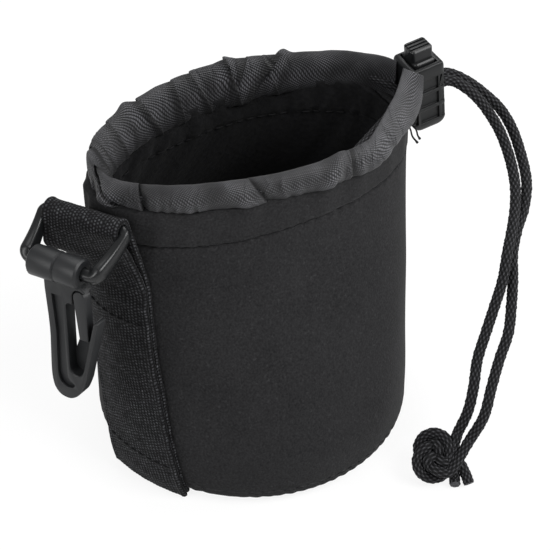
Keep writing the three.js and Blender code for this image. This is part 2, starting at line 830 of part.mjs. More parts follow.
// Barrel round the ring's lower bar, with a shallow parting groove
function barrel() {
  const [outer, bore] = [barrelDiameter / 2, ringBarDiameter / 2 + clearance];
  const profile = [
    [bore, -barrelLeft],
    [outer - barrelChamfer, -barrelLeft],
    [outer, -barrelLeft + barrelChamfer],
    [outer, seamPlace - seamWidth / 2],
    [outer - seamDepth, seamPlace],
    [outer, seamPlace + seamWidth / 2],
    [outer, barrelRight - barrelChamfer],
    [outer - barrelChamfer, barrelRight],
    [bore, barrelRight],
    [bore, -barrelLeft],
  ].map(([x, y]) => new THREE.Vector2(x, y));
  return toSolid(new THREE.LatheGeometry(profile, roundSteps).rotateZ(-Math.PI / 2));
}

// Outline of leg, bend and nose, with the throat cut in, drawn with drops as negative Y
function hookOutline() {
  const shape = new THREE.Shape();
  const seat = gateRootRadius + clearance;
  shape.moveTo(-shoulderLeft, 0);
  shape.lineTo(-shoulderLeft, -shoulderDrop);
  shape.splineThru([
    new THREE.Vector2(-legWaist, -legWaistDrop),
    new THREE.Vector2(-legBelly, -legBellyDrop),
    new THREE.Vector2(-legBelly * bendLeftShares[0], -bendDrop - bendRise * bendLeftShares[1]),
    new THREE.Vector2(bendReach * bendLowestShare, -hookLength),
    new THREE.Vector2(bendReach * bendRightShares[0], -bendDrop - bendRise * bendRightShares[1]),
    new THREE.Vector2(bendReach, -bendDrop),
  ]);
  shape.lineTo(noseReach, -noseTop);
  shape.quadraticCurveTo(noseReach - noseRim / 2, -noseTop + noseRim / 2, noseReach - noseRim, -noseTop);
  shape.lineTo(noseOuter(throatFloor - 2 * noseRim) - noseRim, -throatFloor + 2 * noseRim);
  const floorLeft = legInnerBottom + 2 * noseRim;
  shape.quadraticCurveTo(noseOuter(throatFloor) - noseRim, -throatFloor, floorLeft, -throatFloor);
  shape.quadraticCurveTo(legInnerBottom, -throatFloor, legInnerBottom, -throatFloor + 2 * noseRim);
  shape.lineTo(legInnerTop, -throatTop - noseRim);
  shape.quadraticCurveTo(legInnerTop, -throatTop, legInnerTop + noseRim, -throatTop);
  shape.lineTo(gatePivotReach - seat, -throatTop);
  shape.lineTo(gatePivotReach - seat, -gatePivotDrop);
  shape.absarc(gatePivotReach, -gatePivotDrop, seat, Math.PI, gateSeatEnd, true);
  shape.lineTo(shoulderRight, -gatePivotDrop + seat);
  shape.lineTo(barrelRight, -shoulderRise);
  shape.lineTo(barrelRight, 0);
  shape.closePath();
  return shape;
}

// Thin web across the back of the throat, from the nose to a slanting free edge
function webOutline() {
  const shape = new THREE.Shape();
  shape.moveTo(webTopReach, -webTop);
  shape.lineTo(noseOuter(webTop) - noseRim / 2, -webTop);
  shape.lineTo(noseOuter(throatFloor) - noseRim / 2, -throatFloor - noseRim);
  shape.lineTo(legInnerBottom - noseRim, -throatFloor - noseRim);
  shape.lineTo(legInnerBottom - noseRim, -webFloorDrop);
  shape.closePath();
  return shape;
}

// Recess that leaves two rims along the leg and runs round into the bend
function recessOutline() {
  const shape = new THREE.Shape();
  const left = (width) => -width + recessOuterRim;
  const right = legInnerBottom - recessInnerRim;
  shape.moveTo(left(shoulderLeft), -recessTop);
  shape.lineTo(legInnerTop - recessInnerRim, -recessTop);
  shape.lineTo(right, -legBellyDrop + recessOuterRim);
  shape.quadraticCurveTo(right, -legBellyDrop, right + recessOuterRim, -legBellyDrop - recessInnerRim);
  shape.quadraticCurveTo(right + recessOuterRim, -recessBottom, right, -recessBottom);
  shape.quadraticCurveTo(left(legBelly), -recessBottom, left(legBelly), -legBellyDrop + recessOuterRim);
  shape.lineTo(left(legWaist), -legWaistDrop);
  shape.closePath();
  return shape;
}

function hookBody() {
  const half = hookThickness / 2;
  const bore = ringBarDiameter / 2 + clearance;
  const reach = barrelLeft + barrelRight + 2 * cutOverrun;
  const pin = toSolid(new THREE.CylinderGeometry(bore, bore, reach, roundSteps).rotateZ(Math.PI / 2));
  const solid = slab(hookOutline(), -half, half, hookBevel)
    .add(slab(webOutline(), -half, -half + webThickness))
    .subtract(pin)
    .add(barrel())
    .subtract(slab(recessOutline(), half - recessDepth, half + cutOverrun))
    .subtract(slab(recessOutline(), -half - cutOverrun, -half + recessDepth));
  return toGeometry(solid).applyMatrix4(hookFrame);
}

// Spring gate: a tongue from a round root in the shoulder to a flat end that seats inside the nose
function hookGate() {
  const shape = new THREE.Shape();
  const endRight = noseOuter(gateEndDrop) - noseRim - clearance;
  shape.moveTo(gatePivotReach - gateRootRadius, -gatePivotDrop);
  shape.lineTo(gateEndLeft, -gateEndDrop);
  shape.lineTo(endRight, -gateEndDrop);
  shape.lineTo(gatePivotReach + gateRootRadius, -gatePivotDrop);
  shape.absarc(gatePivotReach, -gatePivotDrop, gateRootRadius, 0, Math.PI, false);
  const half = hookThickness / 2;
  return toGeometry(slab(shape, -half + webThickness + clearance, half, hookBevel)).applyMatrix4(hookFrame);
}

function cordKnot() {
  return new THREE.SphereGeometry(knotRadius, knotSides, knotRows)
    .rotateX(Math.PI / 2)
    .scale(1, 1, knotHalfHeight / knotRadius)
    .translate(...knotCentre);
}

const pouch = new THREE.Group();

function add(name, geometry, finish) {
  const mesh = new THREE.Mesh(geometry, finish);
  mesh.name = name;
  pouch.add(mesh);
}

add('base_panel', basePanel(), neoprene());
add('base_stitching', baseStitching(), thread());
add('side_wall', sideWall(), neoprene());
add('wall_lining', wallLining(), plush());
add('base_lining', baseLining(), plush());
add('hem_stitching_outer', hemStitching(hemGrooveDepth - clearance - threadDiameter / 2), thread());
add('hem_stitching_inner', hemStitching(
  liningInset + liningThickness - liningGrooveDepth + clearance + threadDiameter / 2), thread());
add('collar', collar(), twill());
add('channel_cord', channelCord(), braid());
add('lock_body', lockBody(), glossPlastic());
add('lock_button', lockButton(), glossPlastic());
add('lock_spring', lockSpring(), springSteel());
add('cord_run_a', cordSolid(frontStrandPoints, cordSteps), braid());
add('cord_run_b', cordSolid(backStrandPoints, cordSteps), braid());
add('cord_knot', cordKnot(), braid());
tailPoints.forEach((points, index) => {
  add(`cord_tail_${'ab'[index]}`, cordSolid(points, tailSteps), braid());
});
add('webbing_strap', webbingStrap(), webbing());
add('strap_stitch_upper', strapStitch(strapStitchHeights[0]), thread());
add('strap_stitch_lower', strapStitch(strapStitchHeights[1]), thread());
add('strap_ring', strapRing(), mouldedPlastic());
add('hook_body', hookBody(), mouldedPlastic());
add('hook_gate', hookGate(), mouldedPlastic());

export default pouch;
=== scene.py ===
import logging
import math
from dataclasses import astuple, dataclass
from enum import Enum
from typing import Any, Callable

import bmesh
import bpy
import numpy as np
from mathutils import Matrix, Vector


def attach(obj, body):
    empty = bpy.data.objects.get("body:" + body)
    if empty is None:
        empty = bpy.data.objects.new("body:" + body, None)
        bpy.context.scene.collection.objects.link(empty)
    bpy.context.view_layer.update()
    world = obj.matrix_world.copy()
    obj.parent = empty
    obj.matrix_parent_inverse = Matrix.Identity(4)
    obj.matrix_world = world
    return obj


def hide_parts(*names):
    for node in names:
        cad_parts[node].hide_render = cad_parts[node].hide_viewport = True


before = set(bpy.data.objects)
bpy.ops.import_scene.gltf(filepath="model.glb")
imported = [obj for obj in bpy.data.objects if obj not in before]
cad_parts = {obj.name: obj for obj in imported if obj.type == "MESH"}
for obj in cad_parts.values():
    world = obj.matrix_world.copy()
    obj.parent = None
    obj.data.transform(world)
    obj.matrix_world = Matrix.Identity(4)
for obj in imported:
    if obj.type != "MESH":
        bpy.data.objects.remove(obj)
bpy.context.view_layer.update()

log = logging.getLogger("lens_pouch")
Array = np.ndarray
Piece = bpy.types.Object
Tree = bpy.types.NodeTree
Point = tuple[float, float, float]
Points = tuple[Point, ...]
Pair = tuple[float, float]
MM = 0.001
TURN = 2 * math.pi
UP = np.array([0.0, 0.0, 1.0])


class Body(Enum):
    """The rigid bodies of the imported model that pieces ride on."""

    POUCH = "pouch"
    RING = "ring"
    HOOK = "hook"
    GATE = "gate"
    BUTTON = "button"


# ---- numbers and curves ----


def smooth(value: Array, low: float, high: float) -> Array:
    """Smooth step from 0 at low to 1 at high: 3t^2 - 2t^3, with t the clipped share of the way."""
    share = np.clip((value - low) / (high - low), 0, 1)
    return share * share * (3 - 2 * share)


def hump(value: Array, centre: Array | float, width: float) -> Array:
    """Bell of height 1: exp of minus the squared distance from centre, in widths."""
    return np.exp(-(((value - centre) / width) ** 2))


def arc_gap(turn: Array, centre: Array | float) -> Array:
    """Signed angle from centre to turn, in radians, taken the short way round."""
    return np.angle(np.exp(1j * (turn - centre)))


def circle(count: int) -> Array:
    """Angles of evenly spaced places on a full turn."""
    return np.arange(count) / count * TURN


def superellipse(wave: Array, power: float) -> Array:
    """A sine or cosine raised to a power, with its sign kept: below 1 it squares a circle off."""
    return np.sign(wave) * np.abs(wave) ** power


def unit(vectors: Array) -> Array:
    """Vectors scaled to length 1."""
    return vectors / np.maximum(np.linalg.norm(vectors, axis=-1, keepdims=True), 1e-12)


def joined(x: Array | float, y: Array | float, z: Array | float) -> Array:
    """Points from their three coordinates, which may be grids, rows or single numbers."""
    return np.stack(np.broadcast_arrays(x, y, z), axis=-1)


def lengths_along(points: Array) -> Array:
    """Length from the first point to each point of a path."""
    return np.concatenate([[0], np.cumsum(np.linalg.norm(np.diff(points, axis=0), axis=1))])


def spline(points: Array, count: int, fineness: int = 24) -> Array:
    """Smooth curve through points, at even steps of its length.

    Args:
        points: Places to pass through, one row each; a row may hold any shape of numbers.
        count: How many rows to return.
        fineness: Samples between two places, before the even steps are read.

    Returns:
        Catmull-Rom curve whose knots are the square roots of the chord lengths (centripetal).
    """
    points = np.asarray(points, float)
    flat = points.reshape(len(points), -1)
    padded = np.vstack([2 * flat[0] - flat[1], flat, 2 * flat[-1] - flat[-2]])
    chords = np.linalg.norm(np.diff(padded, axis=0), axis=1)
    knots = np.concatenate([[0], np.cumsum(np.sqrt(np.maximum(chords, 1e-9)))])
    pieces = []
    for i in range(1, len(padded) - 2):
        t = np.linspace(knots[i], knots[i + 1], fineness, endpoint=False)[:, None]
        k, p = knots[i - 1 : i + 3], padded[i - 1 : i + 3]
        a = [((k[j + 1] - t) * p[j] + (t - k[j]) * p[j + 1]) / (k[j + 1] - k[j]) for j in range(3)]
        b = [((k[j + 2] - t) * a[j] + (t - k[j]) * a[j + 1]) / (k[j + 2] - k[j]) for j in range(2)]
        pieces.append(((k[2] - t) * b[0] + (t - k[1]) * b[1]) / (k[2] - k[1]))
    fine = np.vstack([*pieces, flat[-1:]])
    along = lengths_along(fine)
    even = np.linspace(0, along[-1], count)
    columns = [np.interp(even, along, column) for column in fine.T]
    return np.stack(columns, axis=1).reshape(count, *points.shape[1:])


@dataclass(frozen=True)
class Ripple:
    """Irregular waves round the pouch, in millimetres, that close after a full turn.

    They stand out by up to about strength, with fewest to most waves in a turn, and slide round
    by slide radians for each millimetre of height.
    """

    strength: float
    seed: int
    fewest: int
    most: int
    slide: float = 0.0

    def at(self, turn: Array, height: Array | float = 0.0) -> Array:
        """Height of the waves.

        Args:
            turn: Angles in radians.
            height: Heights on the wall.

        Returns:
            A sum of cosines with whole numbers of waves and random phases and shares, scaled to
            the strength.
        """
        rng = np.random.default_rng(self.seed)
        counts = np.arange(self.fewest, self.most + 1)
        phases = rng.uniform(0, TURN, counts.size)
        shares = rng.uniform(0.4, 1.0, counts.size)
        total = np.cos((turn + self.slide * height)[..., None] * counts + phases) @ shares
        return self.strength * total / (1.4 * math.sqrt(float(shares @ shares)))


# ---- meshes ----


def link(name: str, data: Any) -> Piece:
    """New object with some data, linked to the scene."""
    piece = bpy.data.objects.new(name, data)
    bpy.context.scene.collection.objects.link(piece)
    return piece


def new_mesh(name: str, points: Array, faces: list[list[int]]) -> bpy.types.Mesh:
    """Mesh from points in millimetres, in grids of any shape, and faces as lists of their numbers."""
    mesh = bpy.data.meshes.new(name)
    mesh.from_pydata((points.reshape(-1, 3) * MM).tolist(), [], faces)
    return mesh


def settle(name: str, mesh: bpy.types.Mesh) -> Piece:
    """Object for a closed mesh, smooth and turned to face outwards.

    Args:
        name: The piece's name.
        mesh: Its mesh, in metres.

    Returns:
        The linked object, whose mesh encloses a positive volume.
    """
    mesh.update()
    work = bmesh.new()
    work.from_mesh(mesh)
    if work.calc_volume(signed=True) < 0:
        bmesh.ops.reverse_faces(work, faces=work.faces)
    work.to_mesh(mesh)
    work.free()
    mesh.polygons.foreach_set("use_smooth", [True] * len(mesh.polygons))
    return link(name, mesh)


def cells(rows: Array, columns: Array) -> tuple[Array, Array]:
    """Row and column of every cell of a grid, as two flat arrays."""
    row, column = np.meshgrid(rows, columns, indexing="ij")
    return row.ravel(), column.ravel()


def grid_mesh(
    name: str,
    points: Array,
    looped: bool = False,
    surface: tuple[Array, Array] | None = None,
    lit: Array | None = None,
) -> Piece:
    """Mesh of a grid of points in millimetres, whose columns close into rings.

    Args:
        name: The piece's name.
        points: Rows by columns by three.
        looped: Whether the last row joins the first. Otherwise both end rows are filled.
        surface: Lengths along the rows and round the columns, the second with one more entry
            than there are columns. They are kept in metres, as the map "surface".
        lit: For each point, the light and shade painted onto its threads, kept as the attribute "lit".

    Returns:
        The object, with its faces outwards and smooth.
    """
    rows, columns = points.shape[:2]
    r, c = cells(np.arange(rows if looped else rows - 1), np.arange(columns))
    corners = [(r, c), (r, c + 1), (r + 1, c + 1), (r + 1, c)]
    quads = np.stack([(a % rows) * columns + b % columns for a, b in corners], axis=1)
    faces = quads.tolist()
    if not looped:
        faces += [list(range(columns))[::-1], list(range((rows - 1) * columns, rows * columns))]
    mesh = new_mesh(name, points, faces)
    if surface is not None:
        places = np.zeros((len(mesh.loops), 2))
        for corner, (a, b) in enumerate(corners):
            places[corner : quads.size : 4] = np.stack([surface[0][a], surface[1][b]], axis=1) * MM
        mesh.uv_layers.new(name="surface").data.foreach_set("uv", places.ravel())
    if lit is not None:
        mesh.attributes.new("lit", "FLOAT", "POINT").data.foreach_set("value", lit.ravel())
    return settle(name, mesh)


def tube_points(path: Array, radius: Array, sides: int) -> Array:
    """Grid of a tube: circles square to a path, which don't twist about it.

    Args:
        path: Points of the path.
        radius: Radius for each point and side, or for each point.
        sides: Points round the tube.

    Returns:
        Path plus the radius times cos v on the first and sin v on the second direction. The first
        one leans up, and is made square to the new tangent from each point to the next.
    """
    tangents = unit(np.gradient(path, axis=0))
    first = np.zeros_like(path)
    current = UP
    for i, tangent in enumerate(tangents):
        current = unit(current - tangent * (current @ tangent))
        first[i] = current
    second = np.cross(tangents, first)
    around = circle(sides)[None, :, None]
    ring = np.cos(around) * first[:, None] + np.sin(around) * second[:, None]
    return path[:, None] + ring * np.broadcast_to(radius, (len(path), sides))[..., None]


@dataclass(frozen=True)
class Stitching:
    """Machine stitches as short rounded lengths of thread, in millimetres.

    One stitch starts at the share start of its pitch, and fills the share fill of it.
    """

    pitch: float
    thread: float
    start: float = 0.12
    fill: float = 0.78
    rings: int = 7
    sides: int = 6

    def row(self, name: str, path: Array, outward: Array) -> Piece:
        """Row of stitches.

        Args:
            name: The piece's name.
            path: Points along the row, close together.
            outward: Direction out of the cloth at each point.

        Returns:
            One object. Each stitch is an arc whose ends dip half a thread into the cloth, in rings
            whose radius follows the root of 1 minus the fourth power of the place from -1 to 1.
        """
        along = lengths_along(path)
        count = int(along[-1] / self.pitch)
        place = np.linspace(-1, 1, self.rings)
        share = np.arange(count)[:, None] + self.start + (place + 1) / 2 * self.fill
        where = share * along[-1] / count
        centre = np.stack([np.interp(where, along, column) for column in path.T], axis=-1)
        out = unit(np.stack([np.interp(where, along, column) for column in outward.T], axis=-1))
        across = np.cross(unit(np.gradient(centre, axis=1)), out)
        centre = centre - out * (place**2)[:, None] * self.thread / 2
        radius = self.thread / 2 * np.sqrt(np.maximum(1 - place**4, 0.05))
        around = circle(self.sides)[:, None]
        ring = np.cos(around) * out[:, :, None] + np.sin(around) * across[:, :, None]
        points = centre[:, :, None] + ring * radius[:, None, None]
        r, c = cells(np.arange(self.rings - 1) * self.sides, np.arange(self.sides))
        c2, r2, size = (c + 1) % self.sides, r + self.sides, self.rings * self.sides
        quads = np.stack([r + c, r + c2, r2 + c2, r2 + c], axis=1)
        faces: list[list[int]] = []
        for at in range(0, count * size, size):
            first, last = range(at, at + self.sides), range(at + size - self.sides, at + size)
            faces += [*(quads + at).tolist(), list(first)[::-1], list(last)]
        return settle(name, new_mesh(name, points, faces))


def dress(piece: Piece, finish: "Finish", slot: str, *nodes: str, body: Body = Body.POUCH) -> None:
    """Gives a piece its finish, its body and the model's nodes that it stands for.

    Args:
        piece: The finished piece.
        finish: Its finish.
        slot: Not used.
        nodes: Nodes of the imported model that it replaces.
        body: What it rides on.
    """
    piece.data.materials.clear()
    piece.data.materials.append(finish.material())
    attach(piece, body.value)
    if nodes:
        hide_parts(*nodes)
    log.info("%s: %d faces on %s", piece.name, len(piece.data.polygons), body.value)


# ---- finishes ----


def linear(colour: str) -> tuple[float, float, float, float]:
    """Linear colour of an sRGB hex value such as 1f2022."""
    parts = [int(colour[i : i + 2], 16) / 255 for i in (0, 2, 4)]
    return (*[p / 12.92 if p <= 0.04045 else ((p + 0.055) / 1.055) ** 2.4 for p in parts], 1.0)


def empty_tree(owner: Any) -> Tree:
    """The node tree of a material or world, emptied."""
    owner.use_nodes = True
    owner.node_tree.nodes.clear()
    return owner.node_tree


def add_node(tree: Tree, kind: str, inputs: dict[Any, Any] | None = None, **settings: Any) -> Any:
    """Adds a node with its settings, and its inputs as values or links.

    Args:
        tree: The material's tree.
        kind: The node's type, without the word ShaderNode.
        inputs: Socket name or number to a value, a signal or another node's output.
        settings: The node's own properties.

    Returns:
        The node.
    """
    node = tree.nodes.new("ShaderNode" + kind)
    for key, value in settings.items():
        setattr(node, key, value)
    for key, value in (inputs or {}).items():
        value = getattr(value, "socket", value)
        if isinstance(value, bpy.types.NodeSocket):
            tree.links.new(value, node.inputs[key])
        else:
            node.inputs[key].default_value = value
    return node


@dataclass(frozen=True)
class Signal:
    """A number that varies over a surface: a node's output that sums can be made of."""

    tree: Tree
    socket: Any

    def math(self, operation: str, *others: Any) -> "Signal":
        """One Math node on this signal and on further signals or numbers."""
        inputs = dict(enumerate((self, *others)))
        return Signal(self.tree, add_node(self.tree, "Math", inputs, operation=operation).outputs[0])

    def __add__(self, other: Any) -> "Signal":
        """This signal plus another, or plus a number."""
        return self.math("ADD", other)

    def __mul__(self, other: Any) -> "Signal":
        """This signal times another, or times a number."""
        return self.math("MULTIPLY", other)

    def __pow__(self, power: float) -> "Signal":
        """This signal raised to a power."""
        return self.math("POWER", power)

    def ridge(self, pitch_mm: float) -> "Signal":
        """Half of 1 plus the sine of this place in metres, one wave to each pitch."""
        return (self * (TURN / (pitch_mm * MM))).math("SINE") * 0.5 + 0.5


def noise(tree: Tree, size_mm: float, detail: float = 2.0) -> Signal:
    """Noise whose grains are size_mm across, on Object coordinates."""
    place = add_node(tree, "TexCoord").outputs["Object"]
    inputs = {"Vector": place, "Scale": 1000 / size_mm, "Detail": detail}
    return Signal(tree, add_node(tree, "TexNoise", inputs).outputs[0])


def surface_axes(tree: Tree) -> tuple[Signal, Signal]:
    """The piece's own map: metres along it and across it."""
    parts = add_node(tree, "SeparateXYZ", {0: add_node(tree, "UVMap", uv_map="surface").outputs[0]})
    return Signal(tree, parts.outputs[0]), Signal(tree, parts.outputs[1])


@dataclass(frozen=True)
class Finish:
    """A finish: two colours that a pattern mixes, a roughness and a relief.

    Subclasses draw the pattern. A mask of 0 gives the dark colour, and 1 the light one.
    """

    name: str
    dark: str
    light: str
    roughness: float
    relief_mm: float
    sheen: float = 0.0
    specular: float = 0.5
    metallic: float = 0.0

    def pattern(self, tree: Tree) -> tuple[Signal, Signal]:
        """Signals for the colour mask and for the height."""
        raise NotImplementedError

    def material(self) -> bpy.types.Material:
        """The finish's material, made once.

        Returns:
            A principled shader whose colour and bump come from the pattern.
        """
        known = bpy.data.materials.get(self.name)
        if known is not None:
            return known
        material = bpy.data.materials.new(self.name)
        tree = empty_tree(material)
        mask, height = self.pattern(tree)
        colour = add_node(tree, "ValToRGB", {0: mask})
        for end, shade in zip(colour.color_ramp.elements, (self.dark, self.light)):
            end.color = linear(shade)
        bump = add_node(tree, "Bump", {"Height": height, "Distance": self.relief_mm * MM, "Strength": 1.0})
        inputs = {
            "Base Color": colour.outputs[0],
            "Roughness": self.roughness,
            "Specular IOR Level": self.specular,
            "Metallic": self.metallic,
            "Sheen Weight": self.sheen,
            "Sheen Roughness": 0.5,
            "Normal": bump.outputs[0],
        }
        shader = add_node(tree, "BsdfPrincipled", inputs)
        add_node(tree, "OutputMaterial", {0: shader.outputs[0]})
        return material


@dataclass(frozen=True)
class KnitJersey(Finish):
    """Neoprene foam faced with fine nylon jersey: matte, with a tight grain that catches little light."""

    def pattern(self, tree: Tree) -> tuple[Signal, Signal]:
        """Grains of 0.55 mm, coarser than the real loops so that they show, with specks of lint."""
        grain = noise(tree, 0.55, 3)
        lint = noise(tree, 0.8, 0) ** 14 * 9.0
        return noise(tree, 14) * 0.4 + (grain * 1.6 + -0.55) + lint, grain


@dataclass(frozen=True)
class ShortPlush(Finish):
    """Brushed polyester pile: light sinks into it, and tufts show where it is parted."""

    def pattern(self, tree: Tree) -> tuple[Signal, Signal]:
        """Tufts of 1.3 mm broken by fibres of 0.35 mm."""
        height = noise(tree, 1.3, 3) * 0.7 + noise(tree, 0.35) * 0.3
        return height**1.5, height


@dataclass(frozen=True)
class DiagonalTwill(Finish):
    """Nylon twill: fine ribs run slantwise, with a soft shine on the crests."""

    rib_mm: float = 0.54
    slant: float = 0.5

    def pattern(self, tree: Tree) -> tuple[Signal, Signal]:
        """Ribs at rib_mm, a little coarser than the real ones, broken into short thread floats.

        Random patches of painted sheen lighten the flecks, and the attribute lit paints light and
        shade onto them: shade in the folds and low on the inner face, light on crests, on the
        flap and on the side facing the right softbox.

        Args:
            tree: The material's tree.

        Returns:
            Signals for the colour mask and for the height.
        """
        along, across = surface_axes(tree)
        sway = noise(tree, 6, 1) * (0.5 * MM) + across
        rib = (along * self.slant + sway).ridge(self.rib_mm)
        floats = (across * -0.6 + along).ridge(1.1 * self.rib_mm)
        # painted sheen in random broad patches
        sheen_patches = noise(tree, 7, 3) * 2.4 + -0.75
        # lit holds the painted light and shade worked out for each point of the collar
        lit = Signal(tree, add_node(tree, "Attribute", attribute_name="lit").outputs["Fac"])
        fleck = rib * (floats * 0.9 + 0.12) * (sheen_patches * 0.9 + 0.35)
        return fleck * lit, floats * 0.35 + rib * 0.65


@dataclass(frozen=True)
class CoarseWebbing(Finish):
    """Woven polypropylene webbing: staggered thick floats whose crowns catch the light as flecks."""

    float_mm: float = 0.9
    rib_mm: float = 0.92

    def pattern(self, tree: Tree) -> tuple[Signal, Signal]:
        """Floats in columns, each column half a float on from the last, roughened by stray fibres.

        Args:
            tree: The material's tree.

        Returns:
            Signals for the colour mask and for the height.
        """
        along, across = surface_axes(tree)
        bent = noise(tree, 3.5) * (0.7 * MM) + across
        column = bent.math("DIVIDE", self.rib_mm * MM).math("FLOOR")
        shift = column * (0.5 * self.float_mm * MM) + along
        crown = (noise(tree, 2.1) * (1.3 * MM) + shift).ridge(self.float_mm)
        rib = (bent * (math.pi / (self.rib_mm * MM))).math("SINE").math("ABSOLUTE")
        weave = crown**0.7 * rib**1.3
        fibre = noise(tree, 0.4)
        patch = noise(tree, 1.6) * 2.2 + -0.5
        return (weave * (fibre + 0.4)) ** 1.8 * patch, fibre * 0.5 + weave * 0.7


@dataclass(frozen=True)
class BraidedYarn(Finish):
    """Polyester yarn of a round braid: each crown shines and is dark beside the next."""

    diameter_mm: float = 2.6
    carriers: int = 8
    crown_mm: float = 1.1

    def pattern(self, tree: Tree) -> tuple[Signal, Signal]:
        """The braid's own staggered crowns, broken by filaments of 0.35 mm.

        Args:
            tree: The material's tree.

        Returns:
            Signals for the colour mask and for the height.
        """
        along, across = surface_axes(tree)
        turn = across * (self.carriers * 2 / (self.diameter_mm * MM))
        step = along * (math.pi / (self.crown_mm * MM))
        crown = turn.math("COSINE") * step.math("COSINE") * 0.5 + 0.5
        filament = noise(tree, 0.35)
        return crown**3.0 * filament * 1.5, crown * 0.7 + filament * 0.4


@dataclass(frozen=True)
class MouldedPlastic(Finish):
    """Injection-moulded nylon or acetal: smooth, with a faint orange peel and a few handling scuffs."""

    def pattern(self, tree: Tree) -> tuple[Signal, Signal]:
        """Orange peel of 0.6 mm, and scuffs of 6 mm in the colour only."""
        return noise(tree, 6, 4), noise(tree, 0.6)


@dataclass(frozen=True)
class SewingThread(Finish):
    """Twisted polyester thread: satin plies that slant round it."""

    def pattern(self, tree: Tree) -> tuple[Signal, Signal]:
        """Plies of 0.3 mm."""
        ply = noise(tree, 0.3)
        return ply, ply


@dataclass(frozen=True)
class DrawnSteel(Finish):
    """Drawn spring wire: bright bare metal with faint lines along it."""

    def pattern(self, tree: Tree) -> tuple[Signal, Signal]:
        """Draw marks of 0.25 mm."""
        mark = noise(tree, 0.25)
        return mark, mark


NEOPRENE = KnitJersey("neoprene_knit_jersey", "121213", "29292a", 0.95, 0.08, sheen=0.03, specular=0.12)
PLUSH = ShortPlush("black_plush_pile", "0d0d0e", "252526", 1.0, 0.5, sheen=0.02, specular=0.05)
TWILL = DiagonalTwill("charcoal_nylon_twill", "0c0c0d", "5e5e62", 0.5, 0.08, sheen=0.03, specular=0.3)
WEBBING = CoarseWebbing(
    "black_polypropylene_webbing", "070708", "525356", 0.85, 0.14, sheen=0.02, specular=0.15
)
YARN = BraidedYarn("black_braided_yarn", "050506", "48484b", 0.75, 0.12, sheen=0.02, specular=0.15)
SATIN_PLASTIC = MouldedPlastic("grey_moulded_nylon", "17181a", "1f2021", 0.46, 0.012, specular=0.3)
RING_PLASTIC = MouldedPlastic("black_moulded_nylon", "0e0f10", "141516", 0.3, 0.01, specular=0.35)
LOCK_PLASTIC = MouldedPlastic("black_moulded_acetal", "0c0d0e", "131415", 0.36, 0.01, specular=0.32)
THREAD = SewingThread("black_sewing_thread", "0c0c0d", "202021", 0.7, 0.03, specular=0.2)
LINING_THREAD = SewingThread("dark_lining_thread", "111112", "202021", 0.9, 0.03, specular=0.08)
SPRING_STEEL = DrawnSteel("drawn_spring_steel", "9a9ea2", "c0c3c6", 0.3, 0.004, metallic=1.0)


# ---- the pouch's own shape ----


@dataclass(frozen=True)
class Bulge:
    """A place where the wall stands out, by out millimetres, or is drawn in where that is negative.

    It lies at a turn in degrees, fades over width radians, and comes in from the height low to high.
    """

    turn: float
    width: float
    low: float
    high: float
    out: float

    def at(self, turn: Array, height: Array | float) -> Array:
        """How far the wall stands out: a bell of the turn times a smooth step of the height."""
        around = hump(arc_gap(turn, math.radians(self.turn)), 0.0, self.width)
        return self.out * around * smooth(height, self.low, self.high)


@dataclass
class PouchShape:
    """The standing form that the wall, lining, collar and strap share, in millimetres.

    The last bulge is the mouth's front, which the cord draws in.
    """

    radius: float = 42.0
    half_length: float = 44.0
    half_width: float = 23.5
    offset_x: float = 2.0
    offset_y: float = 3.0
    loft_start: float = 10.0
    top: float = 83.8
    hem_depth: float = 12.3
    dip: float = 3.2
    dip_span: float = math.radians(28)
    belly: float = 3.0
    belly_turn: float = math.radians(-112)
    swell: Ripple = Ripple(0.4, 3, 3, 7, 0.004)
    gather: Ripple = Ripple(0.28, 8, 20, 34, -0.006)
    bulges: tuple[Bulge, ...] = (
        Bulge(-30, 0.6, 20, 45, 0.8),
        Bulge(168, 0.35, 50, 78, 1.2),
        Bulge(226, 0.5, 60, 84, -1.5),
    )

    def wall(self, turn: Array, height: Array | float, inset: Array | float) -> Array:
        """Point of the outer wall, moved inwards.

        Args:
            turn: Angle round the pouch, from the cord lock.
            height: Height before the mouth's dip beside the lock.
            inset: How far inside the outer face.

        Returns:
            A circle at the base that blends by a smooth step of height into the mouth's ellipse.
        """
        share = smooth(height, self.loft_start, self.top)
        length = self.radius + (self.half_length - self.radius) * share - inset
        width = self.radius + (self.half_width - self.radius) * share - inset
        away = np.minimum(np.abs(arc_gap(turn, 0.0)) / self.dip_span, 1)
        dip = self.dip * (0.5 + 0.5 * np.cos(np.pi * away))
        x = self.offset_x * share + length * np.cos(turn)
        y = self.offset_y * share + width * np.sin(turn)
        z = height - dip * smooth(height, self.top - self.hem_depth, self.top)
        return joined(x, y, z)

    def rate(self, turn: Array, height: float, probe: float = math.radians(1)) -> Array:
        """Millimetres along the wall for each radian, from points a probe to either side of a turn."""
        step = self.wall(turn + probe, height, 0.0) - self.wall(turn - probe, height, 0.0)
        return np.linalg.norm(step, axis=-1) / (2 * probe)

    def slack(self, turn: Array, height: Array | float) -> Array:
        """How far the soft wall stands out of its plain form.

        Args:
            turn: Angle round the pouch.
            height: Height on the wall.

        Returns:
            Slow swells, short gathers that fade in below the collar, a low belly that is fullest
            opposite the hanging side, and the bulges.
        """
        swell = self.swell.at(turn, height) * smooth(height, 6, 30)
        gather = self.gather.at(turn, height) * smooth(height, 62, 84)
        facing = np.clip(np.cos(turn - self.belly_turn), 0, 1)
        belly = self.belly * facing * smooth(height, -1.0, 2.5) * (1 - smooth(height, 8, 40))
        return swell + gather + belly + sum(bulge.at(turn, height) for bulge in self.bulges)


SHAPE = PouchShape()


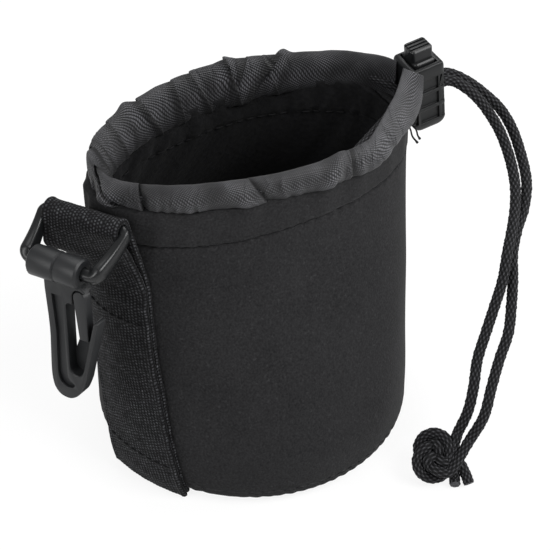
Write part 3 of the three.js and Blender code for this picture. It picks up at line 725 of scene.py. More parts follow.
@dataclass
class PouchShell:
    """Neoprene wall and base, plush linings and the rows of stitches, in millimetres.

    The cloth stands out in one small arch to each stitch, by base_arch at the base and by hem_arch
    at the hem, whose line also rises by hem_rise in each arch.
    """

    thickness: float = 2.6
    foot: float = 0.45
    foot_radius: float = 4.4
    foot_start: float = math.radians(24)
    hem_line: float = 73.0
    hem_proud: float = 0.3
    hem_groove: float = 0.75
    groove_width: float = 0.34
    hem_widening: float = 8.0
    base_arch: float = 0.18
    hem_arch: float = 0.16
    hem_rise: float = 0.22
    top_round: float = 0.7
    lining: float = 0.8
    lining_gap: float = 0.3
    lining_rows: int = 110
    around: int = 720
    disc_rings: int = 22
    disc_sides: int = 144
    rim_share: float = 0.6
    seam: Stitching = Stitching(3.0, 0.42)
    base_seam: Stitching = Stitching(3.4, 0.6)
    base_pucker: Ripple = Ripple(0.16, 21, 50, 96)
    hem_pucker: Ripple = Ripple(0.12, 22, 60, 95)
    lining_folds: Ripple = Ripple(0.5, 31, 9, 24, 0.012)
    lining_edge: Ripple = Ripple(0.35, 33, 30, 60)

    def outside(self) -> Array:
        """Outer face of the wall's section.

        Returns:
            Insets and heights up the foot's arc, the wall and the stitched hem to the rim.
        """
        angle = np.linspace(self.foot_start, math.pi / 2, 12)
        foot = self.foot + self.foot_radius * (math.cos(self.foot_start) - np.cos(angle))
        hem = np.linspace(70.6, 75.0, 40)
        high = np.linspace(75.4, SHAPE.top - self.top_round, 18)
        heights = np.concatenate([np.linspace(4.2, 70.4, 84), hem, high])
        groove = self.hem_groove * np.exp(-np.abs(heights - self.hem_line) / self.groove_width)
        inset = groove - self.hem_proud * smooth(heights, self.hem_line - 0.1, self.hem_line + 0.9)
        insets = np.concatenate([self.foot_radius * (1 - np.sin(angle)), inset, [self.top_round]])
        return np.stack([insets, np.concatenate([foot, heights, [SHAPE.top]])], axis=1)

    def arches(self, turn: Array, length: float) -> Array:
        """The size of a sine that has one arch to each stitch on a seam of a length."""
        return np.abs(np.sin(turn * round(length / self.seam.pitch) / 2))

    def wall(self) -> None:
        """Makes the wall: its closed section carried round, with swells, and puckers at both seams."""
        outside = self.outside()
        inside = np.stack([np.full(30, self.thickness), np.linspace(SHAPE.top, 5, 30)], axis=1)
        section = np.vstack([outside, inside, [[self.thickness + outside[0, 0], self.foot]]])
        turn = circle(self.around)[None, :]
        inset, height = section[:, :1], section[:, 1:]
        outer = (np.arange(len(section)) < len(outside))[:, None]
        base = self.arches(turn, TURN * SHAPE.radius)
        hem = self.arches(turn, TURN * 0.5 * (SHAPE.half_length + SHAPE.half_width + self.hem_widening))
        base_pucker = (self.base_arch * base + self.base_pucker.at(turn)) * hump(height, 1.2, 2.2)
        near_hem = hump(height, self.hem_line - 0.4, 1.1)
        hem_pucker = (self.hem_arch * hem + self.hem_pucker.at(turn)) * near_hem
        rise = self.hem_rise * hem * hump(height, self.hem_line, 1.6) * outer
        stand = SHAPE.slack(turn, height) + (base_pucker + hem_pucker) * outer
        points = SHAPE.wall(turn, height + rise, inset - stand * smooth(height, 0.3, 2.0))
        dress(grid_mesh("pouch_wall", points, looped=True), NEOPRENE, "side_wall", "side_wall")

    def wall_lining(self) -> None:
        """Makes the lining: a thin closed skin whose inner face is folded, with a band at the hem."""
        start, count = self.thickness + self.lining_gap, self.lining_rows
        heights = np.linspace(4.6, SHAPE.top - 0.2, count)
        band = start + self.lining - 0.15 + 0.5 * smooth(heights, 73, 74.2)
        inset = np.concatenate([np.full(count, start), band[::-1]])[:, None]
        height = np.concatenate([heights, heights[::-1]])[:, None]
        inner = (np.arange(2 * count) >= count)[:, None]
        turn = circle(self.around)[None, :]
        folds = self.lining_folds.at(turn, height) * smooth(height, 20, 70)
        folds = folds + self.lining_edge.at(turn) * hump(height, 74, 2.0)
        stand = SHAPE.slack(turn, height) * smooth(height, 1.2, 5) - inner * np.maximum(folds, -0.3)
        lining = grid_mesh("plush_wall_lining", SHAPE.wall(turn, height, inset - stand), looped=True)
        dress(lining, PLUSH, "wall_lining", "wall_lining")

    def disc(self, name: str, radius: float, low: float, high: float, crown: float) -> Piece:
        """Soft round panel.

        Args:
            name: The piece's name.
            radius: Its radius.
            low: Height of its underside.
            high: Height of its top.
            crown: How far the top swells.

        Returns:
            Rings whose radius grows from 0 on the top, rounds the rim, and shrinks below; the
            top's height adds the crown times 1 minus the squared share of the radius.
        """
        edge = (high - low) / 2
        rim = self.rim_share * edge
        flat = radius - rim
        share = np.linspace(0.02, 1, self.disc_rings)
        angle = np.linspace(math.pi / 2, -math.pi / 2, 9)[1:-1]
        out = np.concatenate([share * flat, flat + rim * np.cos(angle), share[::-1] * flat])[:, None]
        side = (high + low) / 2 + edge * np.sin(angle)
        height = np.concatenate([high + crown * (1 - share**2), side, np.full(self.disc_rings, low)])
        turn = circle(self.disc_sides)
        return grid_mesh(name, joined(out * np.cos(turn), out * np.sin(turn), height[:, None]))

    def base(self) -> None:
        """Makes the outer base panel and the plush on the floor of the pouch."""
        panel = self.disc("neoprene_base_panel", 37.3, 0.0, 3.2, 0.0)
        dress(panel, NEOPRENE, "base_panel", "base_panel")
        floor = self.disc("plush_base_lining", 38.2, 3.5, 4.3, 0.9)
        dress(floor, PLUSH, "base_lining", "base_lining")

    def stitches(self) -> None:
        """Makes the hem's row seen outside and inside, and the row that joins the base."""
        turn = np.linspace(0, TURN, self.around + 1)
        slack = SHAPE.slack(turn, self.hem_line)
        inner = self.thickness + self.lining_gap + self.lining + 0.1
        for name, inset, sign, finish, node in (
            ("hem_stitches_outside", self.hem_groove - 0.2, 1.0, THREAD, "hem_stitching_outer"),
            ("hem_stitches_inside", inner, -1.0, LINING_THREAD, "hem_stitching_inner"),
        ):
            path = SHAPE.wall(turn, self.hem_line, inset - slack)
            out = SHAPE.wall(turn, self.hem_line, inset - slack - 1) - path
            dress(self.seam.row(name, path, out * sign), finish, node, node)
        radius = SHAPE.radius - self.foot_radius * (1 - math.sin(self.foot_start)) - self.thickness / 2
        path = joined(radius * np.cos(turn), radius * np.sin(turn), 0.5)
        row = self.base_seam.row("base_seam_stitches", path, np.zeros_like(path) - UP)
        dress(row, THREAD, "base_stitching", "base_stitching")

    def build(self) -> None:
        """Makes every piece of the shell."""
        self.wall()
        self.wall_lining()
        self.base()
        self.stitches()


@dataclass(frozen=True)
class Fold:
    """One slanted fold of the collar.

    The angles are in degrees round the mouth at the band's lower and upper edge. The cloth stands
    out by out millimetres there, the upper edge rises by lift, and width is the angle it fades
    over. A tuck is steep on one side, as where the gathered cloth laps over itself.
    """

    low: float
    high: float
    out: float
    lift: float
    width: float
    tuck: bool = False


@dataclass(frozen=True)
class BandPlace:
    """Edges of the collar's band at one turn, measured from the middle of the mouth's rim.

    The lower and upper edges stand out by their shifts, at their heights; gather is the strength
    of the fine folds there.
    """

    turn: float
    low_out: float
    low_height: float
    high_out: float
    high_height: float
    gather: float


@dataclass
class TwillCollar:
    """The gathered twill casing of the drawstring, in millimetres.

    It is a soft band with a rounded section. Beside the lock its front end opens into a flap
    that leans back over the lock's side, and its back end turns down behind the lock. The lists of
    both ends give the lower edge and then the upper one.
    """

    inset: float = 1.45
    half_thickness: float = 1.75
    flap_thickness: float = 0.62
    lap: float = 0.75
    depth: float = 1.65
    most_push: float = 2.6
    rows: int = 1100
    columns: int = 72
    thread: float = 0.5
    thread_rows: int = 40
    long_thread: Points = (
        (44.9, -5.0, 78.0), (45.6, -5.0, 76.0), (46.4, -4.8, 73.5), (47.6, -5.5, 71.5),
    )
    short_thread: Points = (
        (46.2, -6.0, 77.6), (46.8, -6.0, 76.0), (47.5, -5.6, 74.0), (48.0, -5.9, 72.9),
    )
    # The numbers below paint light and shade into the twill's colour: painted shade in the folds and low on
    # the inner face, painted light on crests, on the flap and on the side facing the right softbox.
    hollow_rows: int = 40
    hollow_depth: float = 0.6
    lit_plain: float = 0.70
    painted_light_right: float = 0.26
    painted_light_flap: float = 0.22
    painted_fold_shade: float = 0.75
    painted_inner_shade: float = 0.6
    crease_count: int = 110
    crease_seed: int = 12
    fine: Ripple = Ripple(0.45, 41, 46, 96)
    swells: Ripple = Ripple(0.2, 42, 14, 34)
    wobble: Ripple = Ripple(0.14, 43, 18, 44)
    places: tuple[BandPlace, ...] = (
        BandPlace(28, -0.4, 80.8, 0.2, 91.6, 0.25),
        BandPlace(45, -1.2, 80.6, 0.0, 91.2, 0.3),
        BandPlace(62, -1.6, 80.0, 0.2, 91.4, 0.5),
        BandPlace(80, -1.8, 79.6, 0.6, 92.6, 0.9),
        BandPlace(105, -1.8, 79.6, 0.8, 92.6, 1.0),
        BandPlace(128, -2.2, 79.8, 0.6, 92.4, 0.9),
        BandPlace(140, -3.0, 80.4, 0.9, 92.0, 0.8),
        BandPlace(155, -3.6, 81.6, 1.0, 91.8, 0.7),
        BandPlace(168, -3.2, 82.8, 0.8, 91.8, 0.8),
        BandPlace(182, -1.8, 83.5, 0.2, 91.2, 1.0),
        BandPlace(195, -1.0, 83.4, -0.6, 91.2, 1.0),
        BandPlace(212, -0.9, 83.5, -1.0, 91.4, 0.8),
        BandPlace(238, -0.9, 83.4, -1.1, 91.2, 0.4),
        BandPlace(255, -0.2, 83.0, -0.3, 90.8, 0.4),
        BandPlace(270, 0.9, 82.6, 0.2, 90.0, 0.4),
        BandPlace(290, 2.0, 81.4, 0.6, 89.0, 0.5),
        BandPlace(300, 2.5, 80.2, 0.8, 88.2, 0.5),
        BandPlace(310, 2.6, 80.2, 0.6, 88.2, 0.4),
        BandPlace(318, 2.4, 81.2, -0.4, 89.6, 0.3),
    )
    back_end: Points = ((46.7, 4.8, 80.0), (44.8, 7.8, 79.8), (46.5, 4.6, 92.0), (44.4, 7.8, 92.2))
    flap: Points = (
        (40.8, -11.7, 83.2), (44.0, -9.3, 83.2), (47.2, -6.6, 84.6), (48.7, -5.0, 87.6), (49.2, -4.2, 92.0),
        (36.2, -9.1, 91.0), (38.4, -7.5, 91.7), (40.2, -6.1, 92.8), (41.7, -4.9, 94.3), (43.3, -3.6, 96.2),
    )
    folds: tuple[Fold, ...] = (
        Fold(-106, -113, 0.9, 0.4, 4.0),
        Fold(-99, -105, -0.9, -0.2, 2.2, True),
        Fold(-79, -71, 1.1, 1.0, 3.2),
        Fold(-68, -66, -0.8, -0.3, 1.6, True),
        Fold(-52, -46, 0.6, 0.2, 6.0),
        Fold(-44, -42, -0.7, 0.0, 1.8, True),
        Fold(-128, -126, 0.5, 0.1, 6.0),
        Fold(-147, -149, -1.2, -0.9, 1.8, True),
        Fold(-158, -182, -2.2, -0.9, 2.4, True),
        Fold(-170, -162, 1.7, 0.5, 8.0),
        Fold(176, 168, 0.8, 1.3, 4.0),
        Fold(170, 161, -1.8, -0.6, 2.0, True),
        Fold(152, 156, -0.7, 0.2, 2.0, True),
        Fold(136, 141, -1.0, -0.3, 2.6, True),
        Fold(118, 128, 0.7, 1.2, 3.2),
        Fold(114, 123, -2.2, -0.9, 1.8, True),
        Fold(103, 106, -1.2, -0.1, 1.6, True),
        Fold(97, 96, 0.7, 0.3, 3.2),
        Fold(91, 98, -1.0, -0.2, 1.6, True),
        Fold(88, 84, 1.0, 1.3, 3.0),
        Fold(80, 85, -2.0, -0.3, 1.5, True),
        Fold(84, 76, -0.9, -0.1, 1.4, True),
        Fold(78, 64, -2.2, 0.1, 1.7, True),
        Fold(71, 61, 1.1, 1.2, 2.4),
        Fold(64, 70, -0.7, 0.0, 1.4, True),
        Fold(38, 40, 0.4, 0.1, 8.0),
    )

    def edges(self) -> tuple[Array, Array, Array, Array]:
        """Edges of the band, from its back end to its front end.

        Returns:
            At each station the lower edge, the upper edge, the turn and the strength of the gathers.
        """
        known, *columns = np.array([astuple(place) for place in self.places]).T
        turns = np.radians(np.linspace(known[0], known[-1], 260))
        tables = [np.interp(turns, np.radians(known), column)[:, None] for column in columns]
        low_out, low_height, high_out, high_height, gather = tables
        flat = SHAPE.wall(turns, SHAPE.top, self.inset) * [1, 1, 0]
        outward = np.cross(unit(np.gradient(flat, axis=0)), UP)
        low = flat + outward * low_out + UP * low_height
        high = flat + outward * high_out + UP * high_height
        back, flap = np.array(self.back_end), np.array(self.flap)
        count, kept = len(flap) // 2, slice(4, -12)
        low = np.vstack([back[:2], low[kept], flap[:count]])
        high = np.vstack([back[2:], high[kept], flap[count:]])
        flap_turns = turns[-1] + 0.02 + 0.04 * np.arange(count)
        turns = np.concatenate([turns[:2] - 0.1, turns[kept], flap_turns])
        gather = np.concatenate([gather[:2, 0], gather[kept, 0], np.full(count, 0.12)])
        extra = np.stack([turns, gather, np.zeros(len(low))], axis=1)
        both = spline(np.stack([low, high, extra], axis=1), self.rows)
        return both[:, 0], both[:, 1], both[:, 2, 0], both[:, 2, 1]

    def surface(self) -> tuple[Array, Array, Array, Array]:
        """Grid of the casing, the lengths along and round it, and how light each spot looks.

        Returns:
            Points: a rounded section hung between the two edges. Each fold moves both faces out by
            a bell, or by a tuck that is steep on one side and slides under its ridge, about a line
            that slants from its low to its high angle, and lifts the upper edge. Fine gathers fade
            upwards from the seam. Light and shade are painted onto each spot: painted shade the
            further it lies below the mean of the cloth near it and low on the inner face, and painted
            light on crests above that mean, on the flap and on the side facing the right softbox.
        """
        low, high, turn, gather = self.edges()
        middle, upward = (low + high) / 2, (high - low) / 2
        tangent = unit(np.gradient(middle, axis=0))
        outward = unit(np.cross(tangent, upward))
        around = circle(self.columns)
        rise = superellipse(np.sin(around), 0.72)
        across = superellipse(np.cos(around), 0.9) * (0.95 - 0.35 * rise)
        share = (rise + 1) / 2
        end = (np.arange(len(turn)) / len(turn))[:, None]
        start, flap = smooth(end, 0.0, 0.03), smooth(end, 0.84, 0.96)
        keep = (1 - flap) * start
        push, lift, slide = np.zeros((3, len(turn), self.columns))
        for fold in self.folds:
            centre = np.radians(fold.low + (fold.high - fold.low) * share)
            gap = np.degrees(arc_gap(turn[:, None], centre)) / fold.width
            tuck = np.exp(-np.where(gap > 0, gap, -4.0 * gap))
            form = tuck if fold.tuck else hump(gap, 0.0, 1.0)
            slide += self.lap * fold.out * tuck * fold.tuck
            push += self.depth * fold.out * form
            lift += fold.lift * form * share**1.5
        strength = gather[:, None]
        fine, swells, wobble = (ripple.at(turn)[:, None] for ripple in (self.fine, self.swells, self.wobble))
        push = push * keep + (fine * (1 - share) ** 1.2 + swells) * strength
        push = np.tanh(push / self.most_push) * self.most_push * (1 - 0.45 * share**2)
        push += self.creases(turn, share) * np.minimum(1.0, strength + 0.25)
        half = self.half_thickness + (self.flap_thickness - self.half_thickness) * flap
        stand = half * (0.5 + 0.5 * start) * across + push * (0.62 + 0.38 * np.clip(across, -1, 1))
        points = middle[:, None] + upward[:, None] * rise[:, None] + outward[:, None] * stand[..., None]
        points += tangent[:, None] * (slide * keep * (0.4 + 0.6 * share))[..., None]
        points[..., 2] += lift * keep + wobble * share * strength
        tall = float(np.linalg.norm(upward, axis=1).mean())
        round_it = np.linspace(0, TURN * tall * 0.75, self.columns + 1)
        # painted shade where the cloth lies below the mean of the cloth nearby, painted light on crests
        # above it
        hollow = (self.mean_nearby(push) - push) / self.hollow_depth
        # painted shade low on the inner face, where it turns into the pouch
        inner_shade_mask = smooth(-np.cos(around), 0.0, 0.8) * smooth(1 - share, 0.3, 1.0) * keep
        # painted light on the side of the mouth that faces the right softbox
        right_facing = smooth(np.cos(turn), 0.1, 0.9)[:, None]
        # painted light on the flap, which faces the right softbox
        lit = self.lit_plain + self.painted_light_right * right_facing + self.painted_light_flap * flap
        lit = (lit - self.painted_fold_shade * np.clip(hollow, -0.55, 1)) * (1 - self.painted_inner_shade * inner_shade_mask)
        return points, lengths_along(middle), round_it, np.clip(lit, 0.1, 1.5)

    def mean_nearby(self, push: Array) -> Array:
        """Mean of the push over hollow_rows rows about each row.

        Args:
            push: How far the cloth stands out, rows by columns.

        Returns:
            Differences of the running sum over the rows, with the end rows repeated.
        """
        count, half = self.hollow_rows, self.hollow_rows // 2
        total = np.cumsum(np.pad(push, ((half + 1, half), (0, 0)), mode="edge"), axis=0)
        return ((total[count:] - total[:-count]) / count)[: len(push)]

    def creases(self, turn: Array, share: Array) -> Array:
        """Small sharp creases scattered over the cloth, from a fixed seed.

        Args:
            turn: Angle of each station.
            share: Height of each column of the section, from 0 below to 1 above.

        Returns:
            The sum of crease_count slanted lines: each is a ridge on one side and a groove on the
            other, exp(-|gap|) times the sign of gap, and fades to its two ends.
        """
        chance, count = np.random.default_rng(self.crease_seed), self.crease_count
        total = np.zeros((len(turn), len(share)))
        for place, lean, height, reach, depth, width in zip(
            chance.uniform(turn.min(), turn.max(), count),
            chance.normal(0, 0.10, count),
            chance.uniform(0.1, 0.9, count),
            chance.uniform(0.18, 0.5, count),
            chance.uniform(0.12, 0.42, count),
            chance.uniform(0.009, 0.022, count),
        ):
            gap = (turn[:, None] - place - lean * (share - height)) / width
            ridge = np.sign(gap) * np.exp(-np.abs(gap)) * np.minimum(1, 3 * np.abs(gap))
            total += depth * ridge * hump(share, height, reach)
        return total

    def build(self) -> None:
        """Makes the casing and the two threads that hang loose below it."""
        points, along, round_it, lit = self.surface()
        collar = grid_mesh("twill_collar", points, surface=(along, round_it), lit=lit)
        dress(collar, TWILL, "collar", "collar")
        frayed = 1 + 0.5 * smooth(np.linspace(0, 1, self.thread_rows), 0.85, 1)
        radius = (self.thread / 2 * frayed)[:, None]
        for name, path in (
            ("loose_thread_long", self.long_thread),
            ("loose_thread_short", self.short_thread),
        ):
            thread = grid_mesh(name, tube_points(spline(path, self.thread_rows), radius, 8))
            dress(thread, THREAD, "hem_stitching_outer")


# ---- drawstring ----


@dataclass
class Drawstring:
    """The braided cord: the length held by the collar and lock, two free strands and their knot.

    Points are in millimetres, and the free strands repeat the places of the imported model.
    """

    diameter: float = 2.6
    sides: int = 40
    carriers: int = 8
    crown_pitch: float = 1.1
    crown_height: float = 0.11
    front: Points = (
        (57.9, 0.6, 83.9), (61, 0, 83.4), (64.2, -2, 81.2), (67.3, -4.1, 77.5), (69.8, -5.9, 73.1),
        (71, -9.5, 69.2), (70.3, -15.8, 64.9), (68, -22.3, 61.5), (65, -27.3, 59), (61.1, -32.2, 56.6),
        (56.9, -36.7, 53), (53.5, -40.3, 47.7), (49.5, -43, 41.8), (45.8, -45.4, 36.5), (41.7, -48.3, 31),
        (38.5, -52, 25.5), (36.2, -53.5, 19), (33.3, -53.75, 12.72),
    )
    back: Points = (
        (57.9, 3.5, 83.9), (62, 3.5, 83.2), (66.8, 1.2, 80.3), (71.1, -1.9, 76.1), (74.5, -4, 71.7),
        (75.7, -7.9, 68), (74.7, -14.7, 63.7), (71.6, -22.6, 60.4), (67.8, -27.5, 56.9), (63.6, -31.1, 54.3),
        (59.6, -35.4, 50.8), (56.9, -40.1, 46.2), (54.3, -44, 41.2), (51, -48.2, 36.5), (46.8, -51, 31),
        (42.6, -54.3, 25.5), (39.2, -56.7, 18.6), (35, -56.95, 11.78),
    )
    knot_centre: Point = (27.2, -53.9, 7.1)
    knot_facing: Point = (-0.40, -0.566, 0.722)
    knot_major: float = 3.2
    knot_minor: float = 1.65
    knot_depth: float = 2.0
    knot_open: float = 0.34
    knot_rows: int = 34
    strand_gap: float = 1.4
    lowest: float = 1.45
    front_tail: Points = ((6.4, -1.9, -1.4), (7.9, -4.4, -1.8), (8.9, -6.7, -1.5))
    back_tail: Points = ((4.6, -2.8, -1.5), (5.0, -5.6, -1.9), (5.2, -7.8, -1.6))
    lock_back: Points = ((57.28, 3.45, 83.93), (47.32, 3.45, 83.06), (45.4, 4.6, 84.2))
    lock_front: Points = ((41.4, -5.4, 87), (44.7, -0.7, 83.9), (47.32, 0.55, 83.06), (57.28, 0.55, 83.93))

    def braid(self, name: str, path: Points | Array, step: float = 0.16, fullness: float = 1.08) -> Piece:
        """A braided round cord along a path.

        Args:
            name: The piece's name.
            path: Its points, in millimetres.
            step: Length of one ring of the grid.
            fullness: Mean radius as a share of half the diameter.

        Returns:
            The cord: its radius swells by cos(n v) cos(k u), the staggered crowns of a braid, over
            a slow unevenness.
        """
        length = lengths_along(spline(path, 400))[-1]
        line = spline(path, max(8, int(length / step)))
        along = lengths_along(line)[:, None]
        around = circle(self.sides)[None, :]
        crowns = np.cos(self.carriers * around) * np.cos(math.pi * along / self.crown_pitch)
        uneven = 0.02 * np.sin(1.9 * along) + 0.015 * np.sin(7.3 * along + 2 * around)
        radius = self.diameter / 2 * (fullness + self.crown_height * crowns + uneven)
        round_it = np.linspace(0, math.pi * self.diameter, self.sides + 1)
        return grid_mesh(name, tube_points(line, radius, self.sides), surface=(along[:, 0], round_it))

    def held_path(self) -> Array:
        """Route through the lock, along the middle of the collar's section and back through the lock."""
        arc = TwillCollar().surface()[0].mean(axis=1)[60:-200:14]
        return np.vstack([self.lock_back, arc, self.lock_front])

    def knot_path(self, side: float, lead: Point, tail: Points) -> Array:
        """One strand's way through the overhand knot, and on to its cut end.

        Args:
            side: -1 for the front strand, 1 for the back one.
            lead: Where its free run ends.
            tail: Places of its tail, in the knot's own directions.

        Returns:
            The strand from its free run, clockwise through the knot and out to its tail. In the
            knot's own directions, across, up and facing, the knot is the curve of angle -2 s,
            radius R + r cos 3 s and depth sin 3 s; each strand lies half a gap off it, square to it.
        """
        facing = unit(np.array(self.knot_facing))
        across = unit(np.cross(UP, facing))
        s = np.linspace(self.knot_open, TURN - self.knot_open, self.knot_rows)
        radius = self.knot_major + self.knot_minor * np.cos(3 * s)
        flat = np.stack([radius * np.cos(2 * s), -radius * np.sin(2 * s)], axis=1)
        tangent = unit(np.gradient(flat, axis=0))
        flat += np.stack([-tangent[:, 1], tangent[:, 0]], axis=1) * side * self.strand_gap
        deep = self.knot_depth * np.sin(3 * s) + 0.25 * side * np.cos(2 * s)
        local = np.vstack([np.column_stack([flat, deep]), tail])
        places = np.array(self.knot_centre) + local @ np.array([across, np.cross(facing, across), facing])
        places[:, 2] = np.maximum(places[:, 2], self.lowest)
        return np.vstack([lead, places])

    def build(self) -> None:
        """Makes the held length, the knot and the two free strands."""
        held = self.braid("held_drawstring", self.held_path(), 0.5, 0.8)
        dress(held, YARN, "channel_cord", "channel_cord")
        front_knot = self.braid("knot_front_strand", self.knot_path(-1, self.front[-1], self.front_tail))
        dress(front_knot, YARN, "cord_knot", "cord_knot", "cord_tail_a")
        back_knot = self.braid("knot_back_strand", self.knot_path(1, self.back[-1], self.back_tail))
        dress(back_knot, YARN, "cord_knot", "cord_knot", "cord_tail_b")
        for name, points, node, knot in (
            ("free_strand_front", self.front, "cord_run_a", front_knot),
            ("free_strand_back", self.back, "cord_run_b", back_knot),
        ):
            strand = self.braid(name, points)
            dress(strand, YARN, node, node)
            line = spline(points, 60) * MM


# ---- strap and hardware ----


@dataclass
class HangingFrame:
    """Directions at the ring: along its bars, out of the wall and up, in millimetres."""

    centre: Point = (-46.8, -2.0, 80.9)
    azimuth: float = math.radians(-60)
    roll: float = math.radians(6)
    lean: float = math.radians(64)

    def axes(self) -> tuple[Array, Array, Array]:
        """Unit vectors along the bars, outwards and upwards."""
        x, y = math.cos(self.azimuth), math.sin(self.azimuth)
        along = np.array([math.cos(self.roll) * x, math.cos(self.roll) * y, math.sin(self.roll)])
        outward = np.array([y, -x, 0.0])
        return along, outward, unit(np.cross(outward, along))

    def near_bar(self, along: Array, outward: Array | float, upward: float) -> Array:
        """Points near the upper bar, from places along it, outward and upward."""
        return np.array(self.centre) + joined(along, outward, upward) @ np.array(self.axes())

    def ring_axes(self) -> Array:
        """Unit vectors of the leaning ring: along the bars, back up to the bar, out of its face."""
        along, outward, upward = self.axes()
        back = upward * math.cos(self.lean) - outward * math.sin(self.lean)
        return np.array([along, back, np.cross(along, back)])


HANG = HangingFrame()


@dataclass
class WebbingStrap:
    """One length of webbing: up the wall, over the ring's bar and down again, in millimetres.

    The turns, in degrees, are those of its middle line from the foot to wall_top. Each row of the
    flare gives the outward shift of its left and right edge, and the height, beside the bar.
    """

    width: float = 22.2
    thickness: float = 1.2
    gap: float = 0.35
    wall_top: float = 62.0
    foot: float = 0.6
    turns: tuple[float, ...] = (204.5, 198.5, 194.0, 192.5)
    flare: Points = ((2.4, 0.1, -4.0), (2.2, -1.9, -9.0))
    bar_radius: float = 1.5
    bar_gap: float = 0.3
    columns: int = 108
    rows: int = 560
    warp_pitch: float = 0.92
    warp_relief: float = 0.1
    loop_pitch: float = 1.1
    selvedge: float = 0.25
    selvedge_relief: float = 0.26
    stitch_margin: float = 1.2
    stitch_heights: Pair = (52.0, 10.5)
    seam: Stitching = Stitching(2.6, 0.6)

    def on_wall(self, height: float, across: Array, lift: float) -> Array:
        """Points on the strap's way up the wall.

        Args:
            height: Height on the wall.
            across: Places across the strap, from its middle line.
            lift: How far they stand off the wall.

        Returns:
            One point for each place, at the turn that lies that length along the wall.
        """
        place = np.clip(height / self.wall_top, 0, 1) * (len(self.turns) - 1)
        middle = np.radians(np.interp(place, np.arange(len(self.turns)), self.turns))
        halfway = middle + across / 2 / SHAPE.rate(middle, height)
        turn = middle + across / SHAPE.rate(halfway, height)
        return SHAPE.wall(turn, height, -lift - 0.6 * SHAPE.slack(turn, height))

    def face_rows(self, across: Array) -> Array:
        """Rows of the ribbon's faces, from one foot over the bar to the other.

        Args:
            across: Places across the strap, from its middle line.

        Returns:
            Rows by two faces, the outer one first, by places by three.
        """
        heights, thick = np.linspace(self.foot, self.wall_top, 14), self.thickness
        under, over = self.gap, 2 * self.gap + thick
        rows = [[self.on_wall(h, across, lift) for lift in (under, under + thick)] for h in heights]
        bend = self.bar_radius + self.bar_gap
        for angle in np.linspace(math.pi, 0, 9):
            o, u = math.cos(angle), math.sin(angle)
            rows.append([HANG.near_bar(across, o * r, u * r) for r in (bend + thick, bend)])
        for left, right, u in self.flare:
            o = np.linspace(left, right, self.columns)
            rows.append([HANG.near_bar(across, o + thick, u), HANG.near_bar(across, o, u)])
        rows += [[self.on_wall(h, across, lift) for lift in (over + thick, over)] for h in heights[::-1]]
        return np.array(rows)

    def ribbon(self) -> None:
        """Makes the webbing: both faces joined by rounded selvedges.

        The faces are the smooth rows. Warp columns stand out of the outer one by |sin(pi u / p)|,
        with slow lumps, the selvedge is thicker, and its loops wander.
        """
        across = np.linspace(-self.width / 2, self.width / 2, self.columns)
        rows = spline(self.face_rows(across), self.rows)
        outer, inner = rows[:, 0], rows[:, 1]
        out = unit(outer - inner)
        along = lengths_along(outer[:, self.columns // 2])
        u = along[:, None]
        bent = across + 0.12 * np.sin(u * 0.9) + 0.08 * np.sin(u * 2.3)
        thicker = hump(np.abs(across), self.width / 2 - 0.5, 0.7)
        relief = self.warp_relief * np.abs(np.sin(math.pi * bent / self.warp_pitch))
        relief = relief + self.selvedge_relief * thicker
        lumps = 0.06 * np.sin(u * 1.1 + across * 0.6) * np.sin(across * 0.9)
        outer = outer + out * (relief + lumps)[..., None]
        inner = inner - out * (0.3 * relief)[..., None]
        loops = 0.16 * np.abs(np.sin(math.pi * u / self.loop_pitch)) + 0.1 * np.sin(u * 0.9)
        middle = (outer + inner) / 2
        right, left = (
            middle[:, edge] + unit(outer[:, edge] - outer[:, beside]) * (self.selvedge + loops)
            for edge, beside in ((-1, -2), (0, 1))
        )
        points = np.concatenate([outer, right[:, None], inner[:, ::-1], left[:, None]], axis=1)
        face = np.append(across + self.width / 2, self.width + self.thickness / 2)
        turnover = self.width + self.thickness
        round_it = np.concatenate([face, turnover + face, [2 * turnover]])
        strap = grid_mesh("webbing_strap_ribbon", points, surface=(along, round_it))
        dress(strap, WEBBING, "webbing_strap", "webbing_strap")

    def build(self) -> None:
        """Makes the ribbon, and the two rows of stitches across its outer layer."""
        self.ribbon()
        reach = self.width / 2 - self.stitch_margin
        across = np.linspace(-reach, reach, 60)
        lift = 2 * self.gap + 2 * self.thickness + 0.3
        for height, node in zip(self.stitch_heights, ("strap_stitch_upper", "strap_stitch_lower")):
            path = self.on_wall(height, across, lift)
            out = self.on_wall(height, across, lift + 1) - path
            dress(self.seam.row(node + "_row", path, out), THREAD, node, node)


@dataclass(frozen=True)
class RingCorner:
    """A corner of the ring: the arm's width and depth, half the ring's span, and the bend's radius."""

    arm: float
    depth: float
    outer: float
    radius: float

    def stations(self, start: float, drop: float, bar: float, grow: Array) -> Array:
        """Places, angle, half width and half thickness round the corner.

        Args:
            start: Angle at which its quarter turn starts.
            drop: How far its centre lies below the upper bar.
            bar: Half the bar's thickness.
            grow: How far the section has gone from the bar's to the arm's, at each station.

        Returns:
            One row of five numbers for each station.
        """
        angle = start - np.linspace(0, math.pi / 2, len(grow))
        x = self.outer - self.arm / 2 - self.radius + self.radius * np.cos(angle)
        y = self.radius * np.sin(angle) - drop
        sizes = [bar + (size / 2 - bar) * grow for size in (self.arm, self.depth)]
        return np.stack([x, y, angle, *sizes], axis=1)


